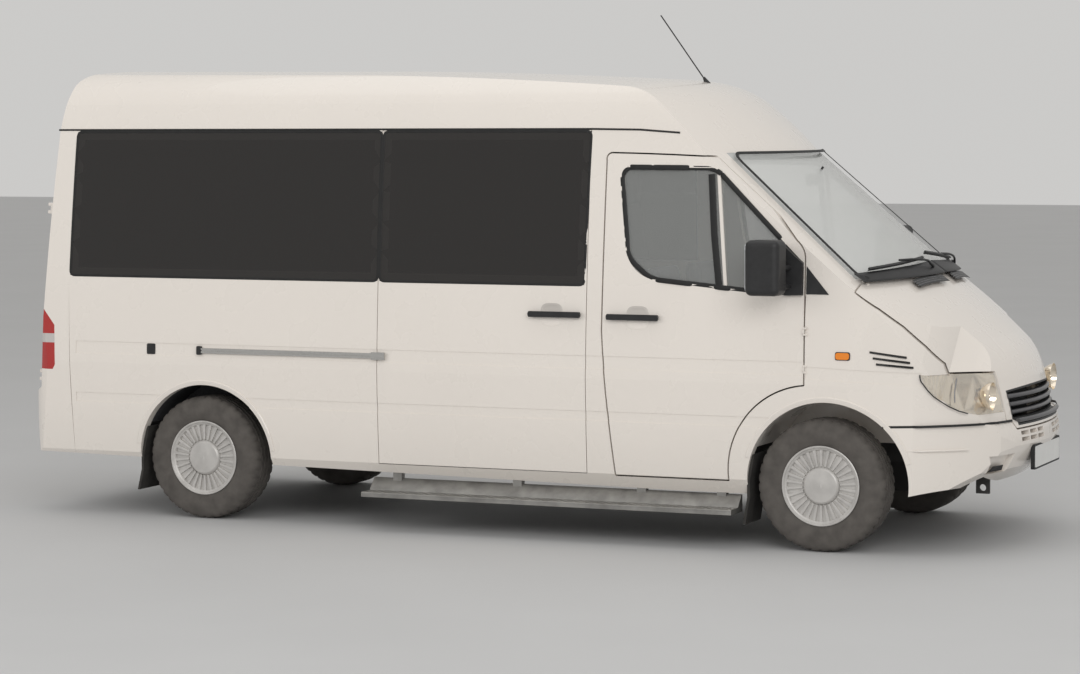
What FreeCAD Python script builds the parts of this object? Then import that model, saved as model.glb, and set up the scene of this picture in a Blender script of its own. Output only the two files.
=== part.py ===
import FreeCAD, Part
import math
import os
import Sketcher
from FreeCAD import Rotation, Vector

# A high-roof minibus. X points forward, Y to its left and Z up. The origin lies on the ground, on the
# centre line, halfway along its length. All sizes are in millimetres.

os.makedirs("parts", exist_ok=True)
doc = FreeCAD.newDocument("minibus")

# Driving dimensions: name, value, meaning
DIMENSIONS = [
    ("overall_length", 5600, "front bumper to rear bumper"),
    ("front_overhang", 945, "front axle to the front bumper"),
    ("wheelbase", 3550, "front axle to rear axle"),
    ("half_track", 815, "centre line to the middle of a tyre"),
    ("half_width", 966, "centre line to the widest point of the side"),
    ("roof_height", 2470, "ground to the top of the roof"),
    ("sill_height", 355, "ground to the lower edge of the doors"),
    ("gutter_height", 2135, "ground to the roof gutter"),
    ("wall_thickness", 55, "thickness of doors and walls"),
    ("glass_thickness", 7, "thickness of bonded window glass"),
    ("panel_gap", 8, "gap round everything that opens"),
    ("tyre_radius", 337, "ground to the wheel axis"),
    ("tyre_width", 225, "width of a tyre"),
    ("rim_radius", 195, "bead seat radius"),
    ("cover_radius", 203, "outer radius of a wheel cover"),
    ("cover_ribs", 30, "radial ribs round a wheel cover"),
    ("front_arch_radius", 420, "front wheel arch"),
    ("rear_arch_radius", 408, "rear wheel arch"),
    ("floor_height", 550, "ground to the top of the floor"),
    ("floor_thickness", 30, "floor pan with its ribs"),
    ("rail_spacing", 390, "centre line to the middle of a chassis rail"),
    ("rail_width", 60, "width of a chassis rail"),
    ("rail_depth", 100, "height of a chassis rail"),
    ("step_width", 100, "tread of the running board outside the body"),
    ("step_height", 210, "ground to the tread"),
    ("axle_tube_radius", 45, "rear axle tube"),
    ("kingpin_length", 270, "height of a steering knuckle"),
    ("seat_pitch", 780, "distance between the seat rows"),
    ("seat_width", 450, "width of one seat"),
    ("cushion_thickness", 110, "thickness of seat and back cushions"),
    ("steering_wheel_radius", 205, "steering wheel"),
]
sheet = doc.addObject("Spreadsheet::Sheet", "Dims")
for row, (alias, value, meaning) in enumerate(DIMENSIONS, start=1):
    sheet.set(f"A{row}", alias)
    sheet.set(f"B{row}", str(value))
    sheet.setAlias(f"B{row}", alias)
    sheet.set(f"C{row}", meaning)
doc.recompute()


def value(expression):
    """Number that an expression on the sheet gives."""
    return float(sheet.evalExpression(str(expression)))


def dim(alias):
    return value("Dims." + alias)


NOSE = dim("overall_length") / 2
TAIL = -NOSE
FRONT_AXLE = NOSE - dim("front_overhang")
REAR_AXLE = FRONT_AXLE - dim("wheelbase")
HALF_WIDTH = dim("half_width")
WALL = dim("wall_thickness")
GAP = dim("panel_gap")
GLASS = dim("glass_thickness")
SIDES = (("left", 1), ("right", -1))


# Outlines: rows of u, v and the outward bulge of the edge that starts there, counter-clockwise

def inset_points(rows, inset):
    """Corners of an outline moved inwards by the same distance on every edge."""
    corners = []
    for index, (u, v, _) in enumerate(rows):
        before = rows[index - 1]
        after = rows[(index + 1) % len(rows)]
        heading_in = math.atan2(v - before[1], u - before[0])
        heading_out = math.atan2(after[1] - v, after[0] - u)
        normal_u = -math.sin(heading_in) - math.sin(heading_out)
        normal_v = math.cos(heading_in) + math.cos(heading_out)
        reach = 2 * inset / (normal_u ** 2 + normal_v ** 2)
        corners.append((u + normal_u * reach, v + normal_v * reach))
    return corners


def outline(rows, place, inset=0.0):
    """Closed wire of lines and arcs; place turns u and v into a point."""
    corners = inset_points(rows, inset)
    edges = []
    for index, (u, v) in enumerate(corners):
        next_u, next_v = corners[(index + 1) % len(corners)]
        bulge = rows[index][2]
        start, end = place(u, v), place(next_u, next_v)
        if bulge:
            chord = math.hypot(next_u - u, next_v - v)
            middle_u = (u + next_u) / 2 + (next_v - v) / chord * bulge
            middle_v = (v + next_v) / 2 - (next_u - u) / chord * bulge
            edges.append(Part.Arc(start, place(middle_u, middle_v), end).toShape())
        else:
            edges.append(Part.makeLine(start, end))
    return Part.Wire(edges)


def grow(wire, distance):
    return wire.makeOffset2D(distance) if distance else wire


def across(rows, y_from, y_to, margin=0.0):
    """Prism along Y from a side view; x is counted from the front axle."""
    wire = grow(outline(rows, lambda u, v: Vector(FRONT_AXLE + u, y_from, v)), margin)
    return Part.Face(wire).extrude(Vector(0, y_to - y_from, 0))


def along(rows, x_from, x_to, margin=0.0):
    """Prism along X from a view of y and z."""
    wire = grow(outline(rows, lambda u, v: Vector(x_from, u, v)), margin)
    return Part.Face(wire).extrude(Vector(x_to - x_from, 0, 0))


def upright(rows, z_from, z_to, margin=0.0):
    """Prism along Z from a plan view; x is counted from the front axle."""
    wire = grow(outline(rows, lambda u, v: Vector(FRONT_AXLE + u, v, z_from)), margin)
    return Part.Face(wire).extrude(Vector(0, 0, z_to - z_from))


def block(x_from, x_to, y_from, y_to, z_from, z_to):
    """Box between two corners."""
    low = Vector(min(x_from, x_to), min(y_from, y_to), min(z_from, z_to))
    return Part.makeBox(abs(x_to - x_from), abs(y_to - y_from), abs(z_to - z_from), low)


def mirrored(rows):
    """Outline of the right half (u > 0) closed with its mirror image."""
    left = []
    for index in range(len(rows) - 1, -1, -1):
        bulge = rows[index - 1][2] if index else 0
        left.append((-rows[index][0], rows[index][1], bulge))
    return rows + left


# Body envelope. Its side profile is lofted across the width: every point moves towards the middle of
# the length by recess, and down by drop, for each square metre of y.
# Columns: datum, distance from it, height, recess, drop, bulge of the edge to the next point
PROFILE = [
    ("tail", 30, 338, 40, 0, 0),
    ("axle", -455, 275, 0, 0, 0),
    ("axle", 445, 300, 0, 0, 0),
    ("nose", 160, 335, 230, 0, 0),
    ("nose", 55, 410, 255, 0, 4),
    ("nose", 0, 530, 260, 0, 4),
    ("nose", 20, 648, 262, 0, 0),
    ("nose", 46, 660, 262, 0, 3),
    ("nose", 70, 856, 330, 60, 22),
    ("nose", 220, 1065, 200, 40, 10),
    ("axle", 315, 1402, 225, 30, 0),
    ("axle", -403, 2010, 294, 0, 10),
    ("axle", -715, 2286, 240, 30, 22),
    ("axle", -1035, 2396, 160, 60, 8),
    ("axle", -2600, 2455, 0, 60, 0),
    ("tail", 320, 2469, 0, 60, 24),
    ("tail", 200, 2400, 40, 30, 0),
    ("tail", 160, 2140, 40, 0, 6),
    ("tail", 50, 700, 40, 0, 0),
    ("tail", 6, 676, 40, 0, 2),
    ("tail", 0, 540, 40, 0, 2),
]
# Half of the cross section: y, z, bulge. It gives the sills, the lean of the sides and the shoulders.
CROSS = [
    (900, 280, 0),
    (945, 355, 3),
    (966, 850, 12),
    (868, 2133, 4),
    (836, 2275, 38),
    (600, 2455, 0),
    (600, 2600, 0),
]
# Half of the plan: x from the front axle, y, bulge. It rounds the four corners.
PLAN = [
    (-4660, -800, 38),
    (-4500, -968, 0),
    (125, -968, 8),
    (475, -905, 30),
    (845, -600, 106),
]
# Shoulder of the bonnet and fenders, seen along a line that leans out and down at 45 degrees:
# x from the front axle, and the sum of height and distance from the centre line
SHOULDER = [
    (-5000, -2000, 0),
    (1200, -2000, 0),
    (1200, 1180, 0),
    (845, 1360, 0),
    (700, 1490, 0),
    (600, 1600, 6),
    (514, 1852, 6),
    (305, 2162, 4),
    (100, 2400, 0),
    (-600, 3300, 0),
    (-5000, 3700, 0),
]
ROOF_SCALE = dim("roof_height") / 2470
WIDTH_SCALE = HALF_WIDTH / 966


def profile_rows(y):
    """Side profile of the body at a distance from the centre line."""
    metres = y / 1000
    rows = []
    for datum, distance, height, recess, drop, bulge in PROFILE:
        start, direction = {"nose": (NOSE, -1), "axle": (FRONT_AXLE, 1), "tail": (TAIL, 1)}[datum]
        x = start + direction * distance
        towards_middle = -1 if x > 0 else 1
        x += towards_middle * recess * metres ** 2
        rows.append((x, height * ROOF_SCALE - drop * metres ** 2, bulge))
    return rows


def lengthwise(inset):
    """Body form from its side profiles, moved inwards by inset."""
    reach = HALF_WIDTH + 34
    sections = [outline(profile_rows(y), lambda u, v: Vector(u, y, v), inset) for y in (-reach, 0, reach)]
    return Part.makeLoft(sections, True, False)


def crosswise(inset):
    """Prism of the cross section, moved inwards by inset."""
    half_section = [(y * WIDTH_SCALE, z * ROOF_SCALE, bulge) for y, z, bulge in CROSS]
    wire = outline(mirrored(half_section), lambda u, v: Vector(TAIL - 100, u, v), inset)
    return Part.Face(wire).extrude(Vector(2 * NOSE + 200, 0, 0))


def planform(inset):
    """Prism of the plan, moved inwards by inset."""
    right = [(x, y * WIDTH_SCALE, bulge) for x, y, bulge in PLAN]
    left = [(x, -y, right[index - 1][2] if index else 0) for index, (x, y, _) in enumerate(right)]
    wire = outline(right + left[::-1], lambda u, v: Vector(FRONT_AXLE + u, v, 0), inset)
    return Part.Face(wire).extrude(Vector(0, 0, 2800))


DIAGONAL = math.sqrt(0.5)


def shoulder(side, inset):
    """Prism that rounds off one shoulder of the bonnet, moved inwards by inset."""
    rows = [(u, v * DIAGONAL, bulge) for u, v, bulge in SHOULDER]
    start = Vector(0, side * 2500, -2500)
    wire = outline(rows,
                   lambda u, v: start + Vector(FRONT_AXLE + u, side * v * DIAGONAL, v * DIAGONAL),
                   inset)
    return Part.Face(wire).extrude(Vector(0, -side * 5000, 5000))


GROOVE = 3
FORMS = {depth: (lengthwise(depth), crosswise(depth), planform(depth),
                 shoulder(1, depth), shoulder(-1, depth))
         for depth in (0, GROOVE, GLASS, 2 * GLASS, 28, WALL)}
SHOULDER_START = FRONT_AXLE + 60


def within(zone, depth):
    """Part of a zone that lies deeper than depth under the body surface."""
    rounded_front = zone.BoundBox.XMax > SHOULDER_START and zone.BoundBox.ZMax > 700
    for form in FORMS[depth][:5 if rounded_front else 3]:
        zone = zone.common(form)
    return zone


def layer(zone, depth_from, depth_to):
    """Part of a zone between two depths under the body surface."""
    return within(zone, depth_from).cut(within(zone, depth_to))


# Side views of what opens, x from the front axle
FRONT_DOOR = [
    (-1097, 352, 0),
    (-484, 352, -133),
    (-78, 851, 0),
    (-82, 1480, 12),
    (-126, 1570, 0),
    (-455, 1920, 22),
    (-640, 1993, 2),
    (-1135, 2010, 12),
    (-1164, 1975, 0),
    (-1170, 1101, 6),
]
FRONT_DOOR_GLASS = [
    (-910, 1368, 0),
    (-185, 1299, 0),
    (-189, 1561, 0),
    (-549, 1917, 8),
    (-603, 1937, 0),
    (-1052, 1940, 9),
    (-1084, 1899, 8),
    (-1035, 1474, 18),
]
SLIDING_DOOR = [(-2460, 355, 0), (-1262, 355, 0), (-1262, 2130, 0), (-2460, 2130, 0)]
REAR_PANE = [(-4372, 1330, 0), (-2466, 1330, 0), (-2466, 2125, 0), (-4352, 2125, 0)]
FRONT_PANE = [(-2454, 1330, 0), (-1275, 1330, 0), (-1260, 2125, 0), (-2454, 2125, 0)]
BONNET = [
    (600, 913, 0),
    (1000, 905, 0),
    (1000, 1500, 0),
    (180, 1500, 0),
    (180, 1328, 0),
    (213, 1304, 0),
    (305, 1242, 0),
    (415, 1152, 0),
    (514, 1052, 0),
    (585, 960, 0),
]
LAMP = [
    (506, 912, 5),
    (545, 837, 7),
    (610, 775, 6),
    (680, 731, 3),
    (760, 704, 0),
    (1000, 702, 0),
    (1000, 896, 0),
    (606, 904, 0),
]
BUMPER = [
    (250, 200, 0),
    (1000, 200, 0),
    (1000, 660, 0),
    (790, 660, 0),
    (620, 656, 0),
    (324, 649, 0),
]
FENDER = [
    (-484, 200, 0),
    (250, 200, 0),
    (324, 649, 0),
    (620, 656, 0),
    (790, 660, 0),
    (1000, 660, 0),
    (1000, 702, 0),
    (760, 704, -3),
    (680, 731, -6),
    (610, 775, -7),
    (545, 837, -5),
    (506, 912, 0),
    (606, 904, 0),
    (585, 960, 0),
    (514, 1052, 0),
    (415, 1152, 0),
    (305, 1242, 0),
    (213, 1304, 0),
    (-70, 1304, 0),
    (-78, 851, 133),
    (-484, 352, 0),
]
SIDE_WALL = [
    (-4349, 200, 0),
    (-476, 200, 0),
    (-476, 344, 0),
    (-70, 1304, 0),
    (245, 1304, 0),
    (245, 2012, 0),
    (-535, 2012, 0),
    (-614, 2099, 0),
    (-772, 2117, 4),
    (-992, 2133, 0),
    (-4360, 2137, 0),
    (-4381, 1330, 0),
]
ROOF = [
    (-4800, 2137, 0),
    (-4360, 2137, 0),
    (-992, 2133, 0),
    (-772, 2117, 0),
    (-614, 2099, 0),
    (-535, 2012, 0),
    (200, 2012, 0),
    (200, 2700, 0),
    (-4800, 2700, 0),
]
REAR_FRAME = [(-4800, 690, 0), (-4367, 690, 0), (-4381, 1330, 0), (-4360, 2137, 0), (-4800, 2137, 0)]
REAR_BUMPER = [(-4800, 200, 0), (-4349, 200, 0), (-4367, 690, 0), (-4800, 690, 0)]
TAIL_LAMP = [(-4800, 803, 0), (-4480, 803, 0), (-4465, 830, 0),
             (-4470, 1050, 0), (-4557, 1159, 0), (-4800, 1159, 0)]
# Views from the front or the back, y and z
WINDSCREEN = [(-840, 1381, -21), (840, 1381, 0), (742, 2012, 0), (-742, 2012, 0)]
BONNET_NOSE = [(-470, 664, 0), (-428, 618, 0), (428, 618, 0), (470, 664, 0), (480, 915, 0), (-480, 915, 0)]
GRILLE = [(-405, 630, 0), (405, 630, 0), (430, 806, 16), (-430, 806, 0)]
FOG_RECESS = [(448, 398, 0), (640, 398, 0), (655, 492, 0), (448, 492, 0)]
REAR_DOOR = [(4, 705, 0), (812, 705, 0), (812, 1300, 0), (745, 2060, 8), (710, 2085, 0), (4, 2085, 0)]
REAR_GLASS = [(95, 1330, 0), (690, 1330, 12), (700, 1345, 0), (655, 1985, 12), (635, 2000, 0), (95, 2000, 0)]

# Everything that opens gets a zone; what stays is cut back from it by the panel gap
DOOR_DEPTH = 420


def side_span(side):
    return side * (HALF_WIDTH + 60), side * (HALF_WIDTH - DOOR_DEPTH)


front_door_zone = across(FRONT_DOOR, *side_span(1))
behind_door = crosswise(WALL + GAP)
door_openings = [across(FRONT_DOOR, *side_span(side), GAP).cut(behind_door) for _, side in SIDES]
sliding_zone = across(SLIDING_DOOR, *side_span(-1))
sliding_opening = across(SLIDING_DOOR, *side_span(-1), GAP / 2)
bonnet_side = across(BONNET, -1000, 1000)
bonnet_side_wide = across(BONNET, -1000, 1000, GAP)
bonnet_plan = upright([(190, -1000, 0), (1200, -1000, 0), (1200, 1000, 0), (190, 1000, 0), (190, 840, -150),
                       (190, -840, 0)], 600, 1600)
bonnet_plan_wide = bonnet_plan.translated(Vector(-GAP, 0, 0))
nose_zone = along(BONNET_NOSE, FRONT_AXLE + 600, NOSE + 50)
nose_zone_wide = along(BONNET_NOSE, FRONT_AXLE + 600, NOSE + 50, GAP)
bonnet_zone = bonnet_side.common(bonnet_plan).fuse(nose_zone)
bonnet_opening = bonnet_side_wide.common(bonnet_plan_wide).fuse(nose_zone_wide)
rear_zone = along(REAR_DOOR, TAIL - 50, TAIL + 420)
REAR_APERTURE = [(y - (4 if y < 10 else 0), z, b) for y, z, b in REAR_DOOR]
rear_openings = [along(REAR_APERTURE, TAIL - 50, TAIL + 420, GAP)]
rear_openings.append(rear_openings[0].mirror(Vector(0, 0, 0), Vector(0, 1, 0)))
arches = []
for _, side in SIDES:
    for x, z, radius in ((FRONT_AXLE + 38, 345, dim("front_arch_radius")),
                         (REAR_AXLE + 27, 335, dim("rear_arch_radius"))):
        arches.append(Part.makeCylinder(radius, 600, Vector(x, side * 450, z), Vector(0, side, 0)))
lamp_zones = {side: across(LAMP, side * 1000, side * 478) for _, side in SIDES}
tail_zones = {side: across(TAIL_LAMP, side * 1000, side * 828) for _, side in SIDES}
windscreen_zone = along(WINDSCREEN, FRONT_AXLE - 700, FRONT_AXLE + 500)


def outer_half(side):
    """Strip that holds one side of the body: beyond the floor, the header and the cowl."""
    rows = [(850, 100, 0), (1100, 100, 0), (1100, 2400, 0), (600, 2400, 0), (600, 2012, 0), (742, 2012, 0),
            (840, 1402, 0), (850, 1290, 0)]
    if side < 0:
        rows = [(-y, z, 0) for y, z, _ in reversed(rows)]
    return along(rows, TAIL - 100, NOSE + 100)


def window(rows, y_from, y_to):
    """Recess for the glass in the outer skin and the smaller opening behind it."""
    recess = across(rows, y_from, y_to).cut(FORMS[GLASS][1])
    opening = across(rows, y_from, y_to, -45)
    return [recess, opening]


nodes = {}


def keep(name, item):
    """Name a finished sub-part."""
    item.Label = name
    nodes[name] = item
    return item


def feature(name, shape):
    item = doc.addObject("Part::Feature", name)
    item.Shape = shape
    return keep(name, item)


MIRROR_PLANE = Vector(0, 0, 0), Vector(0, 1, 0)


def pair(name, left_shape):
    """A piece on the left and its mirror image on the right."""
    feature(name + "_left", left_shape)
    feature(name + "_right", left_shape.mirror(*MIRROR_PLANE))


def both_sides(left_shape):
    return Part.makeCompound([left_shape, left_shape.mirror(*MIRROR_PLANE)])


def side_panel(zone):
    """Wall piece on one side, as thick as the wall."""
    return within(zone, 0).cut(FORMS[WALL][1])


def largest(shape):
    return max(shape.Solids, key=lambda solid: solid.Volume)


def placed(shape, place, turn):
    shape.Placement = FreeCAD.Placement(Vector(*place), turn)
    return shape


def knuckles(place, turn, post_tab, leaf_tab):
    """Small hinge in a panel gap: a pin with two outer knuckles, and the middle knuckle round it."""
    pin = Part.makeCylinder(2, 42, Vector(0, 0, -21))
    outer = [Part.makeCylinder(3.5, 10, Vector(0, 0, z)) for z in (11, -21)]
    outer += [Part.makeBox(post_tab[1] - post_tab[0], post_tab[3] - post_tab[2], 10,
                           Vector(post_tab[0], post_tab[2], z)) for z in (11, -21)]
    middle = Part.makeCylinder(3.5, 20, Vector(0, 0, -10)).fuse(
        Part.makeBox(leaf_tab[1] - leaf_tab[0], leaf_tab[3] - leaf_tab[2], 20,
                     Vector(leaf_tab[0], leaf_tab[2], -10)))
    middle = middle.cut(Part.makeCylinder(2.05, 60, Vector(0, 0, -30)))
    return [placed(pin.fuse(outer), place, turn), placed(middle, place, turn)]


# Hinges of the left rear door: height, and how far the door leaf reaches in from the pin
REAR_HINGES = [(760, 70), (1700, 128)]
REAR_PIN = (-2762, 835, 700)
REAR_LEAN = 0.0764


def rear_hinge(z, reach):
    """Post with its pin for the frame, and leaf with its barrel for the door."""
    pin = Part.makeCylinder(8, 60, Vector(0, 0, -30))
    post = [Part.makeCylinder(14, 17, Vector(0, 0, low)) for low in (13, -30)]
    post += [Part.makeBox(30, 40, 17, Vector(-8, 2, low)) for low in (13, -30)]
    post += [Part.makeBox(62, 36, 60, Vector(14, 15, -30))]
    leaf = Part.makeCylinder(14, 24, Vector(0, 0, -12))
    leaf = leaf.fuse([Part.makeBox(16, reach, 24, Vector(-8, -reach, -12)),
                      Part.makeBox(50, 44, 24, Vector(-8, -reach, -12))])
    leaf = leaf.cut(Part.makeCylinder(8.05, 60, Vector(0, 0, -30)))
    place = REAR_PIN[0] + REAR_LEAN * (z - REAR_PIN[2]), REAR_PIN[1], z
    turn = Rotation(Vector(0, 1, 0), math.degrees(math.atan(REAR_LEAN)))
    return [placed(pin.fuse(post), place, turn), placed(leaf, place, turn)]


front_hinges = [knuckles((FRONT_AXLE - 74, HALF_WIDTH, z), Rotation(), (0, 14, -12, -1), (-12, 0, -12, -1))
                for z in (930, 1120)]
BONNET_PIN = (FRONT_AXLE + 186, 800, 1368)
bonnet_hinge = knuckles(BONNET_PIN, Rotation(Vector(1, 0, 0), 90), (-14, 0, -14, 0), (-3, 5, -22, 0))
bonnet_leaf = block(BONNET_PIN[0] - 3, BONNET_PIN[0] + 30, 790, 810, 1346, 1358)
leaf_notch = block(BONNET_PIN[0] - 8, BONNET_PIN[0] + 30, 787, 813, 1338, 1400)

# Body panels
windows = {side: [cutter for rows in (REAR_PANE, FRONT_PANE) for cutter in window(rows, *side_span(side))]
           for _, side in SIDES}
FENDER_STRIP = [(850, 100, 0), (1100, 100, 0), (1100, 1500, 0), (478, 1500, 0), (478, 640, 0), (850, 640, 0)]
# Shallow bands along the sides: side view, x from the front axle
BANDS = [
    [(-4329, 897, 0), (-78, 897, 0), (-78, 966, 0), (-4329, 966, 0)],
    [(-4332, 628, 0), (-210, 628, 0), (-190, 679, 0), (-4332, 679, 0)],
    [(-66, 881, 0), (534, 855, 0), (510, 920, 0), (-66, 942, 0)],
]
bands = {side: [layer(across(rows, *side_span(side)), 0, GROOVE) for rows in BANDS] for _, side in SIDES}
fender_zone = across(FENDER, 1000, 400).common(along(FENDER_STRIP, 0, NOSE + 50))
roof_zone = across(ROOF, -1000, 1000)
for (name, side), door_opening in zip(SIDES, door_openings):
    wall = layer(across(SIDE_WALL, *side_span(side)).common(outer_half(side)), 0, WALL)
    neighbour = fender_zone if side > 0 else fender_zone.mirror(*MIRROR_PLANE)
    wall = wall.cut([door_opening, sliding_opening, bonnet_opening, neighbour, roof_zone]
                    + arches + windows[side])
    feature("side_wall_" + name, largest(wall.cut(bands[side][:2])))

# Three slots behind each headlamp: side view
VENTS = [(265, 446, 1018, 993), (281, 462, 988, 967), (297, 478, 958, 943)]
vents = [layer(across([(x0, z0, 0), (x1, z1, 0), (x1, z1 + 11, 0), (x0, z0 + 11, 0)], *side_span(1)), 0, 28)
         for x0, x1, z0, z1 in VENTS]
fender = layer(fender_zone, 0, WALL).cut([door_openings[0], bonnet_opening] + arches + vents + bands[1])
fender = largest(fender).fuse([hinge[0] for hinge in front_hinges])
pair("fender", fender)
feature("roof", layer(roof_zone, 0, WALL).cut(windscreen_zone))
under_bumper = FORMS[WALL][2].common(block(FRONT_AXLE + 200, FRONT_AXLE + 760, -1000, 1000, 200, 400))
bumper = layer(across(BUMPER, -1000, 1000), 0, WALL).cut([under_bumper, bonnet_opening] + arches)
fog_recess = layer(along(FOG_RECESS, FRONT_AXLE + 600, NOSE + 50), 0, 28)
slots = [block(FRONT_AXLE + 700, NOSE + 20, y, y + 92, z, z + 20)
         for z in (548, 580) for y in (90, 196, 302)]
bumper = largest(bumper).cut(both_sides(Part.makeCompound([fog_recess] + slots)).Solids)
feature("front_bumper", bumper)
frame = layer(across(REAR_FRAME, -1000, 1000), 0, WALL).cut(rear_openings + list(tail_zones.values()))
posts = both_sides(Part.makeCompound([rear_hinge(z, reach)[0] for z, reach in REAR_HINGES]))
feature("rear_frame", frame.fuse(posts.Solids))
under_rear = FORMS[WALL][2].common(block(TAIL, REAR_AXLE, -1000, 1000, 200, 420))
feature("rear_bumper", layer(across(REAR_BUMPER, -1000, 1000), 0, WALL).cut([under_rear]))
feature("sliding_door", side_panel(sliding_zone).cut(windows[-1] + bands[-1][:2]))

# Bonnet with the opening for the grille, and the grille's frame and slats in it
grille_zone = along(GRILLE, FRONT_AXLE + 600, NOSE + 50)
bonnet = layer(bonnet_zone, 0, WALL).cut(grille_zone)
feature("bonnet", bonnet.fuse(both_sides(bonnet_hinge[1].fuse(bonnet_leaf)).Solids))
grille_skin = layer(grille_zone, 0, 28)
slats = [grille_skin.cut(along(GRILLE, FRONT_AXLE + 600, NOSE + 50, -10))]
for index in range(4):
    low = 645 + 40 * index
    half = 412 + 6 * index
    slats.append(grille_skin.common(block(FRONT_AXLE + 600, NOSE + 50, -half, half, low, low + 22)))
feature("grille", slats[0].fuse(slats[1:]))

# Doors and their glass
rear_glass_zone = along(REAR_GLASS, TAIL - 50, TAIL + 420)
rear_glass_hole = along(REAR_GLASS, TAIL - 50, TAIL + 420, -35)
aperture = across(FRONT_DOOR_GLASS, *side_span(1))
bar = across([(-507, 1310, 0), (-489, 1310, 0), (-545, 1925, 0), (-563, 1925, 0)], *side_span(1))
bar = layer(bar.common(aperture), 0, 28)
front_door = side_panel(front_door_zone).cut([aperture] + bands[1])
front_door = front_door.fuse([bar] + [hinge[1] for hinge in front_hinges])
pair("front_door", front_door)
pair("door_glass", layer(aperture, GLASS, 2 * GLASS).cut(bar))
rear_pane = layer(rear_glass_zone, 0, GLASS)
rear_door = layer(rear_zone, 0, WALL).cut([rear_pane, rear_glass_hole])
pair("rear_door", rear_door.fuse([rear_hinge(z, reach)[1] for z, reach in REAR_HINGES]))
pair("rear_glass", rear_pane)
feature("windscreen", layer(windscreen_zone, 0, GLASS))
panes = [layer(across(rows, *side_span(1)), 0, GLASS) for rows in (REAR_PANE, FRONT_PANE)]
feature("side_windows", both_sides(Part.makeCompound(panes)))

# Lamps: a clear lens over a housing with a round reflector bowl
feature("headlamp_lenses", both_sides(layer(lamp_zones[1], 0, GLASS).cut(bonnet_opening)))
bowl = Part.makeCone(75, 40, 90, Vector(NOSE - 130, 640, 795), Vector(-1, 0, 0))
feature("headlamps", both_sides(layer(lamp_zones[1], GLASS, WALL).cut([bowl, bonnet_opening])))
feature("tail_lamps", both_sides(layer(tail_zones[1], 0, WALL)))

# Bound primitives. Every size and place is an expression on the sheet.
AXLE_F = "Dims.overall_length / 2 - Dims.front_overhang"
AXLE_R = AXLE_F + " - Dims.wheelbase"
RAIL_TOP = "Dims.floor_height - Dims.floor_thickness"


def primitive(kind, sizes, base, turn=None):
    """Part primitive with its sizes and base point bound to the sheet."""
    item = doc.addObject("Part::" + kind, kind.lower())
    for name, expression in sizes.items():
        item.setExpression(name, str(expression))
    if turn:
        item.Placement.Rotation = Rotation(Vector(*turn[:3]), turn[3])
    for axis, expression in zip("xyz", base):
        item.setExpression("Placement.Base." + axis, str(expression))
    return item


def box(x_from, length, y_from, width, z_from, height):
    return primitive("Box", {"Length": length, "Width": width, "Height": height}, (x_from, y_from, z_from))


def rod(radius, length, base, turn=None):
    return primitive("Cylinder", {"Radius": radius, "Height": length}, base, turn)


ALONG_X = (0, 1, 0, 90)
ALONG_Y = (1, 0, 0, -90)


def fused(items):
    item = doc.addObject("Part::MultiFuse", "fusion")
    item.Shapes = items
    return item


def less(base, tool):
    item = doc.addObject("Part::Cut", "cut")
    item.Base, item.Tool = base, tool
    return item


def shared(base, tool):
    item = doc.addObject("Part::Common", "common")
    item.Base, item.Tool = base, tool
    return item


def group(items):
    item = doc.addObject("Part::Compound", "compound")
    item.Links = items
    return item


def reflected(source):
    item = doc.addObject("Part::Mirroring", "mirroring")
    item.Source = source
    item.Normal = Vector(0, 1, 0)
    return item


def helper(shape):
    """Shape of the body form that bound pieces are trimmed with."""
    item = doc.addObject("Part::Feature", "helper")
    item.Shape = shape
    return item


def origin_item(body, role):
    return next(item for item in body.Origin.OriginFeatures if item.Role == role)


def sketch_on(body, plane, rows):
    """Closed sketch from rows of u, v and bulge; corners are bound to the sheet."""
    sketch = body.newObject("Sketcher::SketchObject", "profile")
    sketch.AttachmentSupport = [(origin_item(body, plane), "")]
    sketch.MapMode = "FlatFace"
    corners = [Vector(value(u), value(v), 0) for u, v, _ in rows]
    ends = []
    for index, start in enumerate(corners):
        end = corners[(index + 1) % len(corners)]
        bulge = rows[index][2]
        if bulge:
            span = end - start
            middle = (start + end) / 2 + Vector(span.y, -span.x, 0) / span.Length * bulge
            line = sketch.addGeometry(Part.Arc(start, middle, end))
            flipped = (sketch.getPoint(line, 1) - start).Length > 1e-4
            ends.append((line, 2, 1) if flipped else (line, 1, 2))
        else:
            ends.append((sketch.addGeometry(Part.LineSegment(start, end)), 1, 2))
    for index, (line, _, last) in enumerate(ends):
        after, first, _ = ends[(index + 1) % len(ends)]
        sketch.addConstraint(Sketcher.Constraint("Coincident", line, last, after, first))
    for (line, first, _), (u, v, bulge), start in zip(ends, rows, corners):
        for kind, expression, number in (("DistanceX", u, start.x), ("DistanceY", v, start.y)):
            place = sketch.addConstraint(Sketcher.Constraint(kind, -1, 1, line, first, number))
            sketch.setExpression(f"Constraints[{place}]", str(expression))
        if bulge:
            sketch.addConstraint(Sketcher.Constraint("Radius", line, sketch.Geometry[line].Radius))
    return sketch


def padded(plane, rows, length, base=(0, 0, 0), middle=False):
    """Body with one pad of a closed outline."""
    body = doc.addObject("PartDesign::Body", "body")
    pad = body.newObject("PartDesign::Pad", "pad")
    pad.Profile = sketch_on(body, plane, rows)
    pad.setExpression("Length", str(length))
    pad.Midplane = middle
    for axis, expression in zip("xyz", base):
        body.setExpression("Placement.Base." + axis, str(expression))
    return body


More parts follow.
